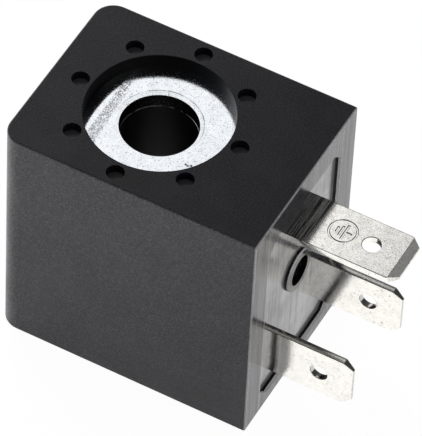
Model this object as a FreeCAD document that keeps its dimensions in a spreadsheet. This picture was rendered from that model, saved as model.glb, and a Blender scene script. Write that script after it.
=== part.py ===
"""Solenoid valve coil, 22 mm wide, with three flat blades for a plug connector.

Origin: on the bore axis, midway between the two faces of the steel yoke.
+Z runs along the bore, +X points at the connector face, +Y completes the frame.
A C-shaped yoke grips a wound bobbin, and a black moulding covers both.
"""
import FreeCAD, Part
import os
import Sketcher
from FreeCAD import Placement, Rotation, Vector

doc = FreeCAD.newDocument("SolenoidCoil")

# Driving dimensions in millimetres, each measured from the bore axis or its own piece.
SIZES = [
    ("housing_width", "22.0"),
    ("housing_front", "17.1"),
    ("housing_back", "12.6"),
    ("housing_height", "29.6"),
    ("back_corner_radius", "2.3"),
    ("housing_edge_radius", "0.2"),
    ("end_recess_diameter", "15.84"),
    ("end_recess_depth", "1.72"),
    ("bend_relief_depth", "0.6"),
    ("pin_hole_diameter", "1.95"),
    ("pin_hole_depth", "1.05"),
    ("pin_circle_inset", "0.16"),
    ("pin_hole_count", "8"),
    ("face_recess_depth", "0.5"),
    ("face_recess_width", "15.8"),
    ("face_recess_bottom_margin", "1.5"),
    ("face_recess_top_margin", "3.2"),
    ("face_recess_corner", "1.6"),
    ("screw_boss_diameter", "5.0"),
    ("screw_boss_setback", "0.1"),
    ("screw_hole_diameter", "3.5"),
    ("screw_tip_diameter", "3.0"),
    ("screw_tip_depth", "2.4"),
    ("bore_diameter", "8.4"),
    ("bore_rim_chamfer", "0.25"),
    ("yoke_thickness", "2.0"),
    ("yoke_side_cover", "2.0"),
    ("yoke_back_cover", "2.0"),
    ("yoke_bend_radius", "4.65"),
    ("yoke_lower_reach", "9.6"),
    ("yoke_end_radius", "1.0"),
    ("bobbin_wall", "0.75"),
    ("flange_inset", "1.1"),
    ("flange_thickness", "1.0"),
    ("flange_clearance", "0.2"),
    ("flange_rim", "0.5"),
    ("tape_thickness", "0.15"),
    ("tower_gap", "1.3"),
    ("tower_width", "4.2"),
    ("tower_rise", "4.0"),
    ("tower_chamfer", "0.4"),
    ("terminal_pitch", "11.0"),
    ("terminal_drop", "6.9"),
    ("terminal_reach", "9.45"),
    ("blade_width", "6.3"),
    ("blade_thickness", "0.8"),
    ("blade_hole_diameter", "2.0"),
    ("terminal_hole_setback", "3.85"),
    ("tip_chamfer_length", "1.1"),
    ("tip_chamfer_depth", "0.9"),
    ("tip_bevel_length", "0.95"),
    ("tip_bevel_depth", "0.2"),
    ("shoulder_gap", "1.3"),
    ("neck_width", "4.0"),
    ("tail_width", "2.6"),
    ("tail_length", "3.0"),
    ("barb_depth", "0.2"),
    ("barb_length", "0.9"),
    ("barb_setback", "1.2"),
    ("post_width", "1.0"),
    ("post_setback", "0.3"),
    ("post_rise", "5.5"),
    ("lead_diameter", "0.25"),
    ("lead_bend_radius", "0.25"),
    ("lead_groove_width", "0.6"),
    ("lead_groove_depth", "0.6"),
    ("lead_start_inset", "0.45"),
    ("lead_riser_gap", "1.2"),
    ("lead_post_drop", "0.8"),
    ("lead_take_off_rise", "3.2"),
    ("lead_stop", "0.66"),
    ("solder_setback", "0.1"),
    ("solder_length", "1.5"),
    ("solder_diameter", "2.1"),
    ("solder_end_diameter", "1.5"),
    ("earth_crank_drop", "2.68"),
    ("earth_reach", "12.05"),
    ("earth_hole_setback", "4.33"),
    ("earth_neck_width", "4.8"),
    ("earth_shoulder_gap", "1.2"),
    ("earth_riser_gap", "1.6"),
    ("earth_bend_radius", "0.5"),
    ("earth_foot_margin", "1.8"),
    ("rivet_flange_gap", "1.4"),
    ("rivet_edge_distance", "2.0"),
    ("rivet_diameter", "2.0"),
    ("rivet_head_diameter", "3.4"),
    ("rivet_head_height", "0.7"),
    ("rivet_head_bevel", "0.35"),
    ("rivet_sink_diameter", "3.4"),
    ("rivet_sink_depth", "0.7"),
    ("nut_across_flats", "5.5"),
    ("nut_thickness", "2.4"),
    ("nut_depth", "2.1"),
    ("nut_thread_diameter", "2.5"),
]

# Places and sizes that follow from the driving dimensions.
PLACES = [
    ("housing_half_width", "Sizes.housing_width / 2"),
    ("housing_half_height", "Sizes.housing_height / 2"),
    ("yoke_half_height", "housing_half_height - Sizes.end_recess_depth"),
    ("yoke_inner_half_height", "yoke_half_height - Sizes.yoke_thickness"),
    ("yoke_width", "Sizes.housing_width - 2 * Sizes.yoke_side_cover"),
    ("yoke_back", "Sizes.housing_back - Sizes.yoke_back_cover"),
    ("yoke_inner_back", "yoke_back - Sizes.yoke_thickness"),
    ("yoke_inner_bend_radius", "Sizes.yoke_bend_radius - Sizes.yoke_thickness"),
    ("bend_centre_back", "yoke_back - Sizes.yoke_bend_radius"),
    ("bend_centre_height", "yoke_half_height - Sizes.yoke_bend_radius"),
    ("end_cut_depth", "Sizes.end_recess_depth + Sizes.bend_relief_depth"),
    ("end_land_middle", "(Sizes.end_recess_diameter / 2 + housing_half_width) / 2"),
    ("pin_circle_radius", "end_land_middle - Sizes.pin_circle_inset"),
    ("face_half_width", "Sizes.face_recess_width / 2"),
    ("face_inner_half_width", "face_half_width - Sizes.face_recess_corner"),
    ("face_low", "housing_half_height - Sizes.face_recess_bottom_margin"),
    ("face_inner_low", "face_low - Sizes.face_recess_corner"),
    ("face_high", "housing_half_height - Sizes.face_recess_top_margin"),
    ("face_inner_high", "face_high - Sizes.face_recess_corner"),
    ("bore_radius", "Sizes.bore_diameter / 2"),
    ("tube_radius", "bore_radius + Sizes.bobbin_wall"),
    ("tube_diameter", "2 * tube_radius"),
    ("flange_outer_half", "yoke_inner_half_height - Sizes.flange_inset"),
    ("flange_rise_in_bend", "flange_outer_half - bend_centre_height"),
    ("bend_room", "sqrt(yoke_inner_bend_radius ^ 2 - flange_rise_in_bend ^ 2)"),
    ("flange_radius", "bend_centre_back + bend_room - Sizes.flange_clearance"),
    ("winding_half", "flange_outer_half - Sizes.flange_thickness"),
    ("winding_length", "2 * winding_half"),
    ("winding_radius", "flange_radius - Sizes.flange_rim"),
    ("winding_diameter", "2 * winding_radius"),
    ("tape_diameter", "winding_diameter + 2 * Sizes.tape_thickness"),
    ("web_back", "(tube_radius + flange_radius) / 2"),
    ("tower_back", "flange_radius + Sizes.tower_gap"),
    ("rivet_head_radius", "Sizes.rivet_head_diameter / 2"),
    ("rivet_place", "flange_radius + Sizes.rivet_flange_gap + rivet_head_radius"),
    ("yoke_upper_reach", "rivet_place + Sizes.rivet_edge_distance"),
    ("tower_front", "yoke_upper_reach"),
    ("tower_top", "Sizes.tower_rise - Sizes.terminal_drop"),
    ("tower_height", "flange_outer_half + tower_top"),
    ("terminal_offset", "Sizes.terminal_pitch / 2"),
    ("tower_inner_side", "terminal_offset - Sizes.tower_width / 2"),
    ("tower_outer_side", "terminal_offset + Sizes.tower_width / 2"),
    ("blade_half_width", "Sizes.blade_width / 2"),
    ("blade_half_thickness", "Sizes.blade_thickness / 2"),
    ("terminal_tip", "Sizes.housing_front + Sizes.terminal_reach"),
    ("terminal_chamfer_start", "terminal_tip - Sizes.tip_chamfer_length"),
    ("terminal_bevel_start", "terminal_tip - Sizes.tip_bevel_length"),
    ("terminal_hole", "terminal_tip - Sizes.terminal_hole_setback"),
    ("tip_half_width", "blade_half_width - Sizes.tip_chamfer_depth"),
    ("tip_half_thickness", "blade_half_thickness - Sizes.tip_bevel_depth"),
    ("neck_half_width", "Sizes.neck_width / 2"),
    ("tail_half_width", "Sizes.tail_width / 2"),
    ("tail_end", "tower_front - Sizes.tail_length"),
    ("barb_half_width", "tail_half_width + Sizes.barb_depth"),
    ("barb_peak", "tower_front - Sizes.barb_setback"),
    ("barb_start", "barb_peak - Sizes.barb_length"),
    ("post_back", "tower_front + Sizes.post_setback"),
    ("post_front", "post_back + Sizes.post_width"),
    ("post_axis", "post_back + Sizes.post_width / 2"),
    ("post_top", "Sizes.post_rise - Sizes.terminal_drop"),
    ("terminal_shoulder", "post_front + Sizes.shoulder_gap"),
    ("post_radius", "sqrt(post_axis ^ 2 + terminal_offset ^ 2)"),
    ("lead_angle", "atan(terminal_offset / post_axis)"),
    ("lead_height", "post_top - Sizes.lead_post_drop"),
    ("lead_end", "post_radius - Sizes.lead_stop"),
    ("lead_start", "tube_radius + Sizes.lead_start_inset"),
    ("lead_groove_floor", "winding_half + Sizes.lead_groove_depth"),
    ("lead_groove_run", "lead_groove_floor - Sizes.lead_diameter"),
    ("lead_riser", "flange_radius + Sizes.lead_riser_gap"),
    ("lead_groove_back", "lead_start - Sizes.lead_groove_width / 2"),
    ("lead_groove_length", "lead_riser + Sizes.lead_groove_width / 2 - lead_groove_back"),
    ("lead_take_off", "lead_height + Sizes.lead_take_off_rise"),
    ("solder_top", "post_top - Sizes.solder_setback"),
    ("solder_middle", "solder_top - Sizes.solder_length / 2"),
    ("solder_bottom", "solder_top - Sizes.solder_length"),
    ("solder_radius", "Sizes.solder_diameter / 2"),
    ("solder_end_radius", "Sizes.solder_end_diameter / 2"),
    ("earth_rise", "yoke_inner_half_height - Sizes.earth_crank_drop"),
    ("earth_low_face", "earth_rise - blade_half_thickness"),
    ("earth_high_face", "earth_rise + blade_half_thickness"),
    ("earth_tip", "Sizes.housing_front + Sizes.earth_reach"),
    ("earth_chamfer_start", "earth_tip - Sizes.tip_chamfer_length"),
    ("earth_bevel_start", "earth_tip - Sizes.tip_bevel_length"),
    ("earth_bevel_low", "earth_rise - tip_half_thickness"),
    ("earth_bevel_high", "earth_rise + tip_half_thickness"),
    ("earth_hole", "earth_tip - Sizes.earth_hole_setback"),
    ("earth_neck_half_width", "Sizes.earth_neck_width / 2"),
    ("earth_riser_front", "yoke_upper_reach + Sizes.earth_riser_gap"),
    ("earth_riser_back", "earth_riser_front - Sizes.blade_thickness"),
    ("earth_shoulder", "earth_riser_front + Sizes.earth_shoulder_gap"),
    ("earth_outer_bend_radius", "Sizes.earth_bend_radius + Sizes.blade_thickness"),
    ("earth_foot_low", "yoke_inner_half_height - Sizes.blade_thickness"),
    ("earth_foot_end", "rivet_place - Sizes.earth_foot_margin"),
    ("rivet_radius", "Sizes.rivet_diameter / 2"),
    ("rivet_grip", "Sizes.yoke_thickness + Sizes.blade_thickness"),
    ("rivet_sink_radius", "Sizes.rivet_sink_diameter / 2"),
    ("rivet_head_edge", "rivet_grip + Sizes.rivet_head_height - Sizes.rivet_head_bevel"),
    ("rivet_head_end", "rivet_grip + Sizes.rivet_head_height"),
    ("rivet_crown_radius", "rivet_head_radius - Sizes.rivet_head_bevel"),
    ("nut_front", "Sizes.housing_front - Sizes.nut_depth"),
    ("nut_back", "nut_front - Sizes.nut_thickness"),
    ("nut_half_flats", "Sizes.nut_across_flats / 2"),
    ("nut_corner", "Sizes.nut_across_flats / sqrt(3)"),
    ("nut_half_side", "nut_corner / 2"),
    ("screw_hole_depth", "Sizes.nut_depth + Sizes.nut_thickness"),
    ("screw_hole_end", "screw_hole_depth + Sizes.screw_tip_depth"),
]

sizes = doc.addObject("Spreadsheet::Sheet", "Sizes")
for row, (alias, text) in enumerate(SIZES, start=1):
    sizes.set(f"A{row}", alias)
    sizes.set(f"B{row}", text)
    sizes.setAlias(f"B{row}", alias)

places = doc.addObject("Spreadsheet::Sheet", "Places")
for row, (alias, formula) in enumerate(PLACES, start=1):
    places.set(f"A{row}", alias)
    places.set(f"B{row}", f"={formula}")
    places.setAlias(f"B{row}", alias)
doc.recompute()

SIZE_NAMES = {alias for alias, _ in SIZES}


def number(name):
    """Value of a named size; a leading minus mirrors it."""
    if name == "0":
        return 0.0
    if name.startswith("-"):
        return -number(name[1:])
    sheet = sizes if name in SIZE_NAMES else places
    cell = getattr(sheet, name)
    return float(getattr(cell, "Value", cell))


def formula_of(name):
    """Expression that refers to a named size in its sheet."""
    if name.startswith("-"):
        return f"-{formula_of(name[1:])}"
    return f"Sizes.{name}" if name in SIZE_NAMES else f"Places.{name}"


def new_body(label):
    body = doc.addObject("PartDesign::Body", f"{label}_body")
    body.Label = label
    return body


def origin_feature(body, role):
    return next(item for item in body.Origin.OriginFeatures if item.Role == role)


def new_sketch(body, name, plane, height="0", flipped=False):
    """Sketch on one of the body's own planes, raised by a named distance along its normal."""
    sketch = body.newObject("Sketcher::SketchObject", name)
    sketch.AttachmentSupport = [(origin_feature(body, plane), "")]
    sketch.MapMode = "FlatFace"
    sketch.MapReversed = flipped
    if height != "0":
        sketch.setExpression("AttachmentOffset.Base.z", formula_of(height))
    return sketch


def bind(sketch, name, *parts):
    index = sketch.addConstraint(Sketcher.Constraint(*parts, number(name)))
    sketch.setExpression(f"Constraints[{index}]", formula_of(name))


def fix_point(sketch, line, end, across, up):
    """Tie one end of a line, or a circle's centre, to two named coordinates."""
    for kind, axis, name in (("DistanceX", -2, across), ("DistanceY", -1, up)):
        if name == "0":
            sketch.addConstraint(Sketcher.Constraint("PointOnObject", line, end, axis))
        else:
            bind(sketch, name, kind, -1, 1, line, end)


def add_polygon(sketch, corners):
    """Closed outline with every corner tied to named coordinates."""
    points = [Vector(number(across), number(up), 0) for across, up in corners]
    first = sketch.GeometryCount
    for start, end in zip(points, points[1:] + points[:1]):
        sketch.addGeometry(Part.LineSegment(start, end), False)
    for index, (across, up) in enumerate(corners):
        before = first + (index - 1) % len(corners)
        sketch.addConstraint(Sketcher.Constraint("Coincident", before, 2, first + index, 1))
        fix_point(sketch, first + index, 1, across, up)


def add_rectangle(sketch, left, right, low, high):
    add_polygon(sketch, [(left, low), (right, low), (right, high), (left, high)])


def add_circle(sketch, across, up, diameter):
    centre = Vector(number(across), number(up), 0)
    circle = Part.Circle(centre, Vector(0, 0, 1), number(diameter) / 2)
    index = sketch.addGeometry(circle, False)
    bind(sketch, diameter, "Diameter", index)
    fix_point(sketch, index, 3, across, up)


def pad(body, sketch, length, symmetric=False, reverse=False):
    feature = body.newObject("PartDesign::Pad", f"{sketch.Name}_pad")
    feature.Profile = sketch
    feature.SideType = "Symmetric" if symmetric else "One side"
    feature.Reversed = reverse
    feature.setExpression("Length", formula_of(length))
    return feature


def pocket(body, sketch, depth=None, reverse=False):
    """Cut to a named depth against the sketch's normal, or right through both ways."""
    feature = body.newObject("PartDesign::Pocket", f"{sketch.Name}_pocket")
    feature.Profile = sketch
    if depth is None:
        feature.SideType = "Symmetric"
        feature.Type = "ThroughAll"
    else:
        feature.Reversed = reverse
        feature.setExpression("Length", formula_of(depth))
    doc.recompute()
    return feature


def revolve(body, sketch):
    feature = body.newObject("PartDesign::Revolution", f"{sketch.Name}_turn")
    feature.Profile = sketch
    feature.ReferenceAxis = (origin_feature(body, "Z_Axis"), [""])
    feature.Angle = 360
    return feature


def edges_where(feature, test):
    """Names of the straight edges whose two ends satisfy the test."""
    doc.recompute()
    names = []
    for index, edge in enumerate(feature.Shape.Edges, start=1):
        ends = [vertex.Point for vertex in edge.Vertexes]
        if len(ends) == 2 and test(ends[0], ends[1]):
            names.append(f"Edge{index}")
    return names


def circles_where(feature, radius, height):
    """Names of the full circles of one radius on the bore axis at one height."""
    doc.recompute()
    names = []
    for index, edge in enumerate(feature.Shape.Edges, start=1):
        curve = edge.Curve
        if not isinstance(curve, Part.Circle):
            continue
        on_axis = abs(curve.Center.x) < NEAR and abs(curve.Center.y) < NEAR
        if on_axis and abs(curve.Radius - radius) < NEAR and abs(curve.Center.z - height) < NEAR:
            names.append(f"Edge{index}")
    return names


def dress(body, kind, base, edges, size):
    """Fillet or chamfer on the given edges, with a named radius or leg."""
    feature = body.newObject(f"PartDesign::{kind}", f"{base.Name}_{kind.lower()}")
    feature.Base = (base, edges)
    feature.setExpression("Radius" if kind == "Fillet" else "Size", formula_of(size))
    doc.recompute()
    return feature


def joined(name, parts):
    fuse = doc.addObject("Part::MultiFuse", name)
    fuse.Shapes = parts
    return fuse


def cut(label, base, tool):
    """Piece shaped by its neighbour: the base with the tool's room taken out."""
    result = doc.addObject("Part::Cut", f"{label}_cut")
    result.Base = base
    result.Tool = tool
    base.Label = f"{label}_blank"
    result.Label = label
    return result


NEAR = 1e-4


def near(value, name):
    return abs(value - number(name)) < NEAR


def upright(first, second):
    """True for an edge that runs along Z."""
    return abs(first.x - second.x) < NEAR and abs(first.y - second.y) < NEAR


def crosswise(first, second):
    """True for an edge that runs along Y."""
    return abs(first.x - second.x) < NEAR and abs(first.z - second.z) < NEAR


# Line terminal: a stamped tab with a barbed tail for the bobbin and a post for the wire.
# The outline lies in the tab's own XZ plane, with the blade's middle on its X axis.
def line_terminal(label, side):
    body = new_body(label)
    outline = new_sketch(body, f"{label}_outline", "XZ_Plane")
    lower = [
        ("tail_end", "-tail_half_width"),
        ("barb_start", "-tail_half_width"),
        ("barb_peak", "-barb_half_width"),
        ("barb_peak", "-tail_half_width"),
        ("tower_front", "-tail_half_width"),
        ("tower_front", "-neck_half_width"),
        ("terminal_shoulder", "-neck_half_width"),
        ("terminal_shoulder", "-blade_half_width"),
        ("terminal_chamfer_start", "-blade_half_width"),
        ("terminal_tip", "-tip_half_width"),
    ]
    upper = [(across, up[1:]) for across, up in reversed(lower)]
    after_shoulder = upper.index(("terminal_shoulder", "neck_half_width")) + 1
    post = [
        ("post_front", "neck_half_width"),
        ("post_front", "post_rise"),
        ("post_back", "post_rise"),
        ("post_back", "neck_half_width"),
    ]
    add_polygon(outline, lower + upper[:after_shoulder] + post + upper[after_shoulder:])
    pad(body, outline, "blade_thickness", symmetric=True)

    hole = new_sketch(body, f"{label}_hole", "XZ_Plane")
    add_circle(hole, "terminal_hole", "0", "blade_hole_diameter")
    pocket(body, hole)

    bevel = new_sketch(body, f"{label}_bevel", "XY_Plane")
    for sign in ("", "-"):
        edge = f"{sign}blade_half_thickness"
        thin = f"{sign}tip_half_thickness"
        add_polygon(bevel, [("terminal_bevel_start", edge), ("terminal_tip", edge), ("terminal_tip", thin)])
    pocket(body, bevel)
    height = -number("terminal_drop")
    body.Placement = Placement(Vector(0, side * number("terminal_offset"), height), Rotation())
    return body


terminal_1 = line_terminal("terminal_1", -1)
terminal_2 = line_terminal("terminal_2", 1)


# Yoke: one strip of zinc-plated steel bent to a C, with a punched bore in each arm.
yoke_body = new_body("yoke")
yoke_profile = new_sketch(yoke_body, "yoke_profile", "XZ_Plane")
add_polygon(yoke_profile, [
    ("-yoke_back", "-yoke_half_height"),
    ("yoke_lower_reach", "-yoke_half_height"),
    ("yoke_lower_reach", "-yoke_inner_half_height"),
    ("-yoke_inner_back", "-yoke_inner_half_height"),
    ("-yoke_inner_back", "yoke_inner_half_height"),
    ("yoke_upper_reach", "yoke_inner_half_height"),
    ("yoke_upper_reach", "yoke_half_height"),
    ("-yoke_back", "yoke_half_height"),
])
yoke_strip = pad(yoke_body, yoke_profile, "yoke_width", symmetric=True)
outer_bends = edges_where(yoke_strip, lambda a, b: crosswise(a, b) and near(a.x, "-yoke_back"))
yoke_outer = dress(yoke_body, "Fillet", yoke_strip, outer_bends, "yoke_bend_radius")
inner_bends = edges_where(yoke_outer, lambda a, b: crosswise(a, b) and near(a.x, "-yoke_inner_back"))
yoke_bent = dress(yoke_body, "Fillet", yoke_outer, inner_bends, "yoke_inner_bend_radius")
arm_ends = edges_where(yoke_bent, lambda a, b: upright(a, b) and a.x > number("yoke_lower_reach") - NEAR)
yoke_ends = dress(yoke_body, "Fillet", yoke_bent, arm_ends, "yoke_end_radius")
yoke_bore = new_sketch(yoke_body, "yoke_bore", "XY_Plane")
add_circle(yoke_bore, "0", "0", "bore_diameter")
yoke_bored = pocket(yoke_body, yoke_bore)
rims = []
for face in ("yoke_half_height", "-yoke_half_height"):
    rims += circles_where(yoke_bored, number("bore_radius"), number(face))
dress(yoke_body, "Chamfer", yoke_bored, rims, "bore_rim_chamfer")


# Earth rivet: sunk flush in the yoke's upper arm and headed over under the earth foot.
# It is turned about its own axis, with its flush face at its origin.
earth_rivet = new_body("earth_rivet")
rivet_profile = new_sketch(earth_rivet, "rivet_profile", "XZ_Plane")
add_polygon(rivet_profile, [
    ("0", "0"),
    ("rivet_sink_radius", "0"),
    ("rivet_radius", "-rivet_sink_depth"),
    ("rivet_radius", "-rivet_grip"),
    ("rivet_head_radius", "-rivet_grip"),
    ("rivet_head_radius", "-rivet_head_edge"),
    ("rivet_crown_radius", "-rivet_head_end"),
    ("0", "-rivet_head_end"),
])
revolve(earth_rivet, rivet_profile)
rivet_top = Vector(number("rivet_place"), 0, number("yoke_half_height"))
earth_rivet.Placement = Placement(rivet_top, Rotation())
yoke = cut("yoke", yoke_body, earth_rivet)


# Earth terminal: a flat tab whose root cranks up to a foot under the yoke's upper arm.
earth_body = new_body("earth_terminal")
earth_profile = new_sketch(earth_body, "earth_profile", "XZ_Plane")
add_polygon(earth_profile, [
    ("earth_tip", "earth_bevel_low"),
    ("earth_tip", "earth_bevel_high"),
    ("earth_bevel_start", "earth_high_face"),
    ("earth_riser_front", "earth_high_face"),
    ("earth_riser_front", "yoke_inner_half_height"),
    ("earth_foot_end", "yoke_inner_half_height"),
    ("earth_foot_end", "earth_foot_low"),
    ("earth_riser_back", "earth_foot_low"),
    ("earth_riser_back", "earth_low_face"),
    ("earth_bevel_start", "earth_low_face"),
])
earth_strip = pad(earth_body, earth_profile, "blade_width", symmetric=True)


def crank_edges(feature, front_height, back_height):
    """Edges across the crank at one height on its front and one on its back."""
    def chosen(a, b):
        on_front = near(a.x, "earth_riser_front") and near(a.z, front_height)
        on_back = near(a.x, "earth_riser_back") and near(a.z, back_height)
        return crosswise(a, b) and (on_front or on_back)
    return edges_where(feature, chosen)


inner_cranks = crank_edges(earth_strip, "earth_high_face", "earth_foot_low")
earth_inner = dress(earth_body, "Fillet", earth_strip, inner_cranks, "earth_bend_radius")
outer_cranks = crank_edges(earth_inner, "yoke_inner_half_height", "earth_low_face")
dress(earth_body, "Fillet", earth_inner, outer_cranks, "earth_outer_bend_radius")
earth_trim = new_sketch(earth_body, "earth_trim", "XY_Plane")
for sign in ("", "-"):
    edge = f"{sign}blade_half_width"
    add_rectangle(earth_trim, "earth_foot_end", "earth_shoulder", f"{sign}earth_neck_half_width", edge)
    add_polygon(earth_trim, [
        ("earth_chamfer_start", edge),
        ("earth_tip", edge),
        ("earth_tip", f"{sign}tip_half_width"),
    ])
add_circle(earth_trim, "earth_hole", "0", "blade_hole_diameter")
pocket(earth_body, earth_trim)
earth_terminal = cut("earth_terminal", earth_body, earth_rivet)


# Bobbin: a moulded spool whose lower flange carries two towers for the line terminals.
bobbin_body = new_body("bobbin")
spool = new_sketch(bobbin_body, "spool_profile", "XZ_Plane")
add_polygon(spool, [
    ("bore_radius", "-yoke_inner_half_height"),
    ("tube_radius", "-yoke_inner_half_height"),
    ("tube_radius", "-flange_outer_half"),
    ("flange_radius", "-flange_outer_half"),
    ("flange_radius", "-winding_half"),
    ("tube_radius", "-winding_half"),
    ("tube_radius", "winding_half"),
    ("flange_radius", "winding_half"),
    ("flange_radius", "flange_outer_half"),
    ("tube_radius", "flange_outer_half"),
    ("tube_radius", "yoke_inner_half_height"),
    ("bore_radius", "yoke_inner_half_height"),
])
revolve(bobbin_body, spool)
web = new_sketch(bobbin_body, "terminal_web", "XY_Plane", "-flange_outer_half")
add_rectangle(web, "web_back", "tower_front", "-tower_outer_side", "tower_outer_side")
pad(bobbin_body, web, "flange_thickness")
towers = new_sketch(bobbin_body, "terminal_towers", "XY_Plane", "-flange_outer_half")
for sign in ("", "-"):
    add_rectangle(towers, "tower_back", "tower_front", f"{sign}tower_inner_side", f"{sign}tower_outer_side")
tower_pad = pad(bobbin_body, towers, "tower_height")
tower_rims = edges_where(tower_pad, lambda a, b: near(a.z, "tower_top") and near(b.z, "tower_top"))
dress(bobbin_body, "Chamfer", tower_pad, tower_rims, "tower_chamfer")

# Groove in the lower flange that lets the inner end of the wire out from under the coil.
lead_turn = Rotation(Vector(0, 0, 1), -number("lead_angle"))
lead_groove = doc.addObject("Part::Box", "lead_groove")
lead_groove.setExpression("Length", "Places.lead_groove_length")
lead_groove.setExpression("Width", "Sizes.lead_groove_width")
lead_groove.setExpression("Height", "Sizes.lead_groove_depth")
groove_corner = Vector(number("lead_groove_back"), -number("lead_groove_width") / 2, -number("lead_groove_floor"))
lead_groove.Placement = Placement(lead_turn.multVec(groove_corner), lead_turn)
bobbin = cut("bobbin", bobbin_body, joined("bobbin_slots", [terminal_1, terminal_2, lead_groove]))


def ring(label, outer_diameter, inner_diameter):
    """Sleeve on the bore axis as long as the wound space."""
    body = new_body(label)
    section = new_sketch(body, f"{label}_section", "XY_Plane", "-winding_half")
    add_circle(section, "0", "0", outer_diameter)
    add_circle(section, "0", "0", inner_diameter)
    pad(body, section, "winding_length")
    return body


# Winding: enamelled copper wire in close layers, modelled as one sleeve of copper.
winding = ring("winding", "winding_diameter", "tube_diameter")


# Leads: both ends of the wire run in the vertical plane through the bore axis and a post.
def add_route(sketch, corners, radius):
    """Path of level and upright runs through named corners, joined by tangent arcs."""
    points = [Vector(number(across), number(up), 0) for across, up in corners]
    bend = number(radius)
    runs = []
    arcs = []
    for index, (start, end) in enumerate(zip(points, points[1:])):
        along = (end - start).normalize()
        first = start + along * bend if index > 0 else start
        last = end - along * bend if index < len(points) - 2 else end
        runs.append(sketch.addGeometry(Part.LineSegment(first, last), False))
    for index in range(1, len(points) - 1):
        before = (points[index - 1] - points[index]).normalize()
        after = (points[index + 1] - points[index]).normalize()
        enter = points[index] + before * bend
        leave = points[index] + after * bend
        middle = points[index] + (before + after) * (bend * (1 - 0.5 ** 0.5))
        arc = Part.Arc(enter, middle, leave)
        arcs.append((sketch.addGeometry(arc, False), before.cross(after).z < 0))
    for index, (across, up) in enumerate(corners[:-1]):
        level = up == corners[index + 1][1]
        kind, name, axis = ("DistanceY", up, "Horizontal") if level else ("DistanceX", across, "Vertical")
        sketch.addConstraint(Sketcher.Constraint(axis, runs[index]))
        bind(sketch, name, kind, -1, 1, runs[index], 1)
    for index, (arc, forward) in enumerate(arcs):
        enter, leave = (1, 2) if forward else (2, 1)
        sketch.addConstraint(Sketcher.Constraint("Tangent", runs[index], 2, arc, enter))
        sketch.addConstraint(Sketcher.Constraint("Tangent", runs[index + 1], 1, arc, leave))
        bind(sketch, radius, "Radius", arc)
    first_level = corners[0][1] == corners[1][1]
    kind, name = ("DistanceX", corners[0][0]) if first_level else ("DistanceY", corners[0][1])
    bind(sketch, name, kind, -1, 1, runs[0], 1)
    last_level = corners[-1][1] == corners[-2][1]
    kind, name = ("DistanceX", corners[-1][0]) if last_level else ("DistanceY", corners[-1][1])
    bind(sketch, name, kind, -1, 1, runs[-1], 2)


def lead(label, side, section, centre, corners):
    """Round wire swept along a route in the plane of its terminal's post.

    The section is a plane, its height and whether it is flipped to face down the route, which
    turns its X axis round as well.
    """
    body = new_body(label)
    route = new_sketch(body, f"{label}_route", "XZ_Plane")
    add_route(route, corners, "lead_bend_radius")
    section = new_sketch(body, f"{label}_section", *section)
    add_circle(section, *centre, "lead_diameter")
    sweep = body.newObject("PartDesign::AdditivePipe", f"{label}_sweep")
    sweep.Profile = section
    sweep.Spine = (route, [])
    body.Placement = Placement(Vector(), Rotation(Vector(0, 0, 1), side * number("lead_angle")))
    return body


start_lead = lead("start_lead", -1, ("XY_Plane", "winding_half", True), ("-lead_start", "0"), [
    ("lead_start", "-winding_half"),
    ("lead_start", "-lead_groove_run"),
    ("lead_riser", "-lead_groove_run"),
    ("lead_riser", "lead_height"),
    ("lead_end", "lead_height"),
])
finish_lead = lead("finish_lead", 1, ("YZ_Plane", "winding_radius"), ("0", "lead_take_off"), [
    ("winding_radius", "lead_take_off"),
    ("lead_riser", "lead_take_off"),
    ("lead_riser", "lead_height"),
    ("lead_end", "lead_height"),
])


# Tape: polyester film wrapped round the finished winding, open where the wire comes out.
tape_ring = ring("winding_tape", "tape_diameter", "winding_diameter")
winding_tape = cut("winding_tape", tape_ring, finish_lead)


# Solder: a barrel of solder on each wire post that holds the end of the lead.
def solder_barrel(label, side):
    body = new_body(label)
    profile = new_sketch(body, f"{label}_profile", "XZ_Plane")
    add_polygon(profile, [
        ("0", "solder_bottom"),
        ("solder_end_radius", "solder_bottom"),
        ("solder_radius", "solder_middle"),
        ("solder_end_radius", "solder_top"),
        ("0", "solder_top"),
    ])
    revolve(body, profile)
    body.Placement = Placement(Vector(number("post_axis"), side * number("terminal_offset"), 0), Rotation())
    return body


solder_pair = joined("solder_pair", [solder_barrel("solder_1", -1), solder_barrel("solder_2", 1)])
solder_cores = joined("solder_cores", [terminal_1, terminal_2, start_lead, finish_lead])
solder_joints = cut("solder_joints", solder_pair, solder_cores)


# Fixing nut: a steel hexagon nut moulded in behind the connector face, on the X axis.
fixing_nut = new_body("fixing_nut")
hexagon = new_sketch(fixing_nut, "nut_hexagon", "YZ_Plane", "nut_back")
add_polygon(hexagon, [
    ("nut_corner", "0"),
    ("nut_half_side", "nut_half_flats"),
    ("-nut_half_side", "nut_half_flats"),
    ("-nut_corner", "0"),
    ("-nut_half_side", "-nut_half_flats"),
    ("nut_half_side", "-nut_half_flats"),
])
add_circle(hexagon, "0", "0", "nut_thread_diameter")
pad(fixing_nut, hexagon, "nut_thickness")


# Housing: glass-filled plastic moulded round everything else, with a sunk seat at each end.
housing_body = new_body("housing")
block = new_sketch(housing_body, "housing_outline", "XY_Plane", "-housing_half_height")
add_rectangle(block, "-housing_back", "housing_front", "-housing_half_width", "housing_half_width")
block_pad = pad(housing_body, block, "housing_height")
back_corners = edges_where(block_pad, lambda a, b: upright(a, b) and near(a.x, "-housing_back"))
rounded_back = dress(housing_body, "Fillet", block_pad, back_corners, "back_corner_radius")


def outer_edge(a, b):
    """Sharp edges of the block: its two end outlines and the two front corners."""
    at_end = abs(a.z - b.z) < NEAR and abs(abs(a.z) - number("housing_half_height")) < NEAR
    return at_end or (upright(a, b) and near(a.x, "housing_front"))


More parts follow.
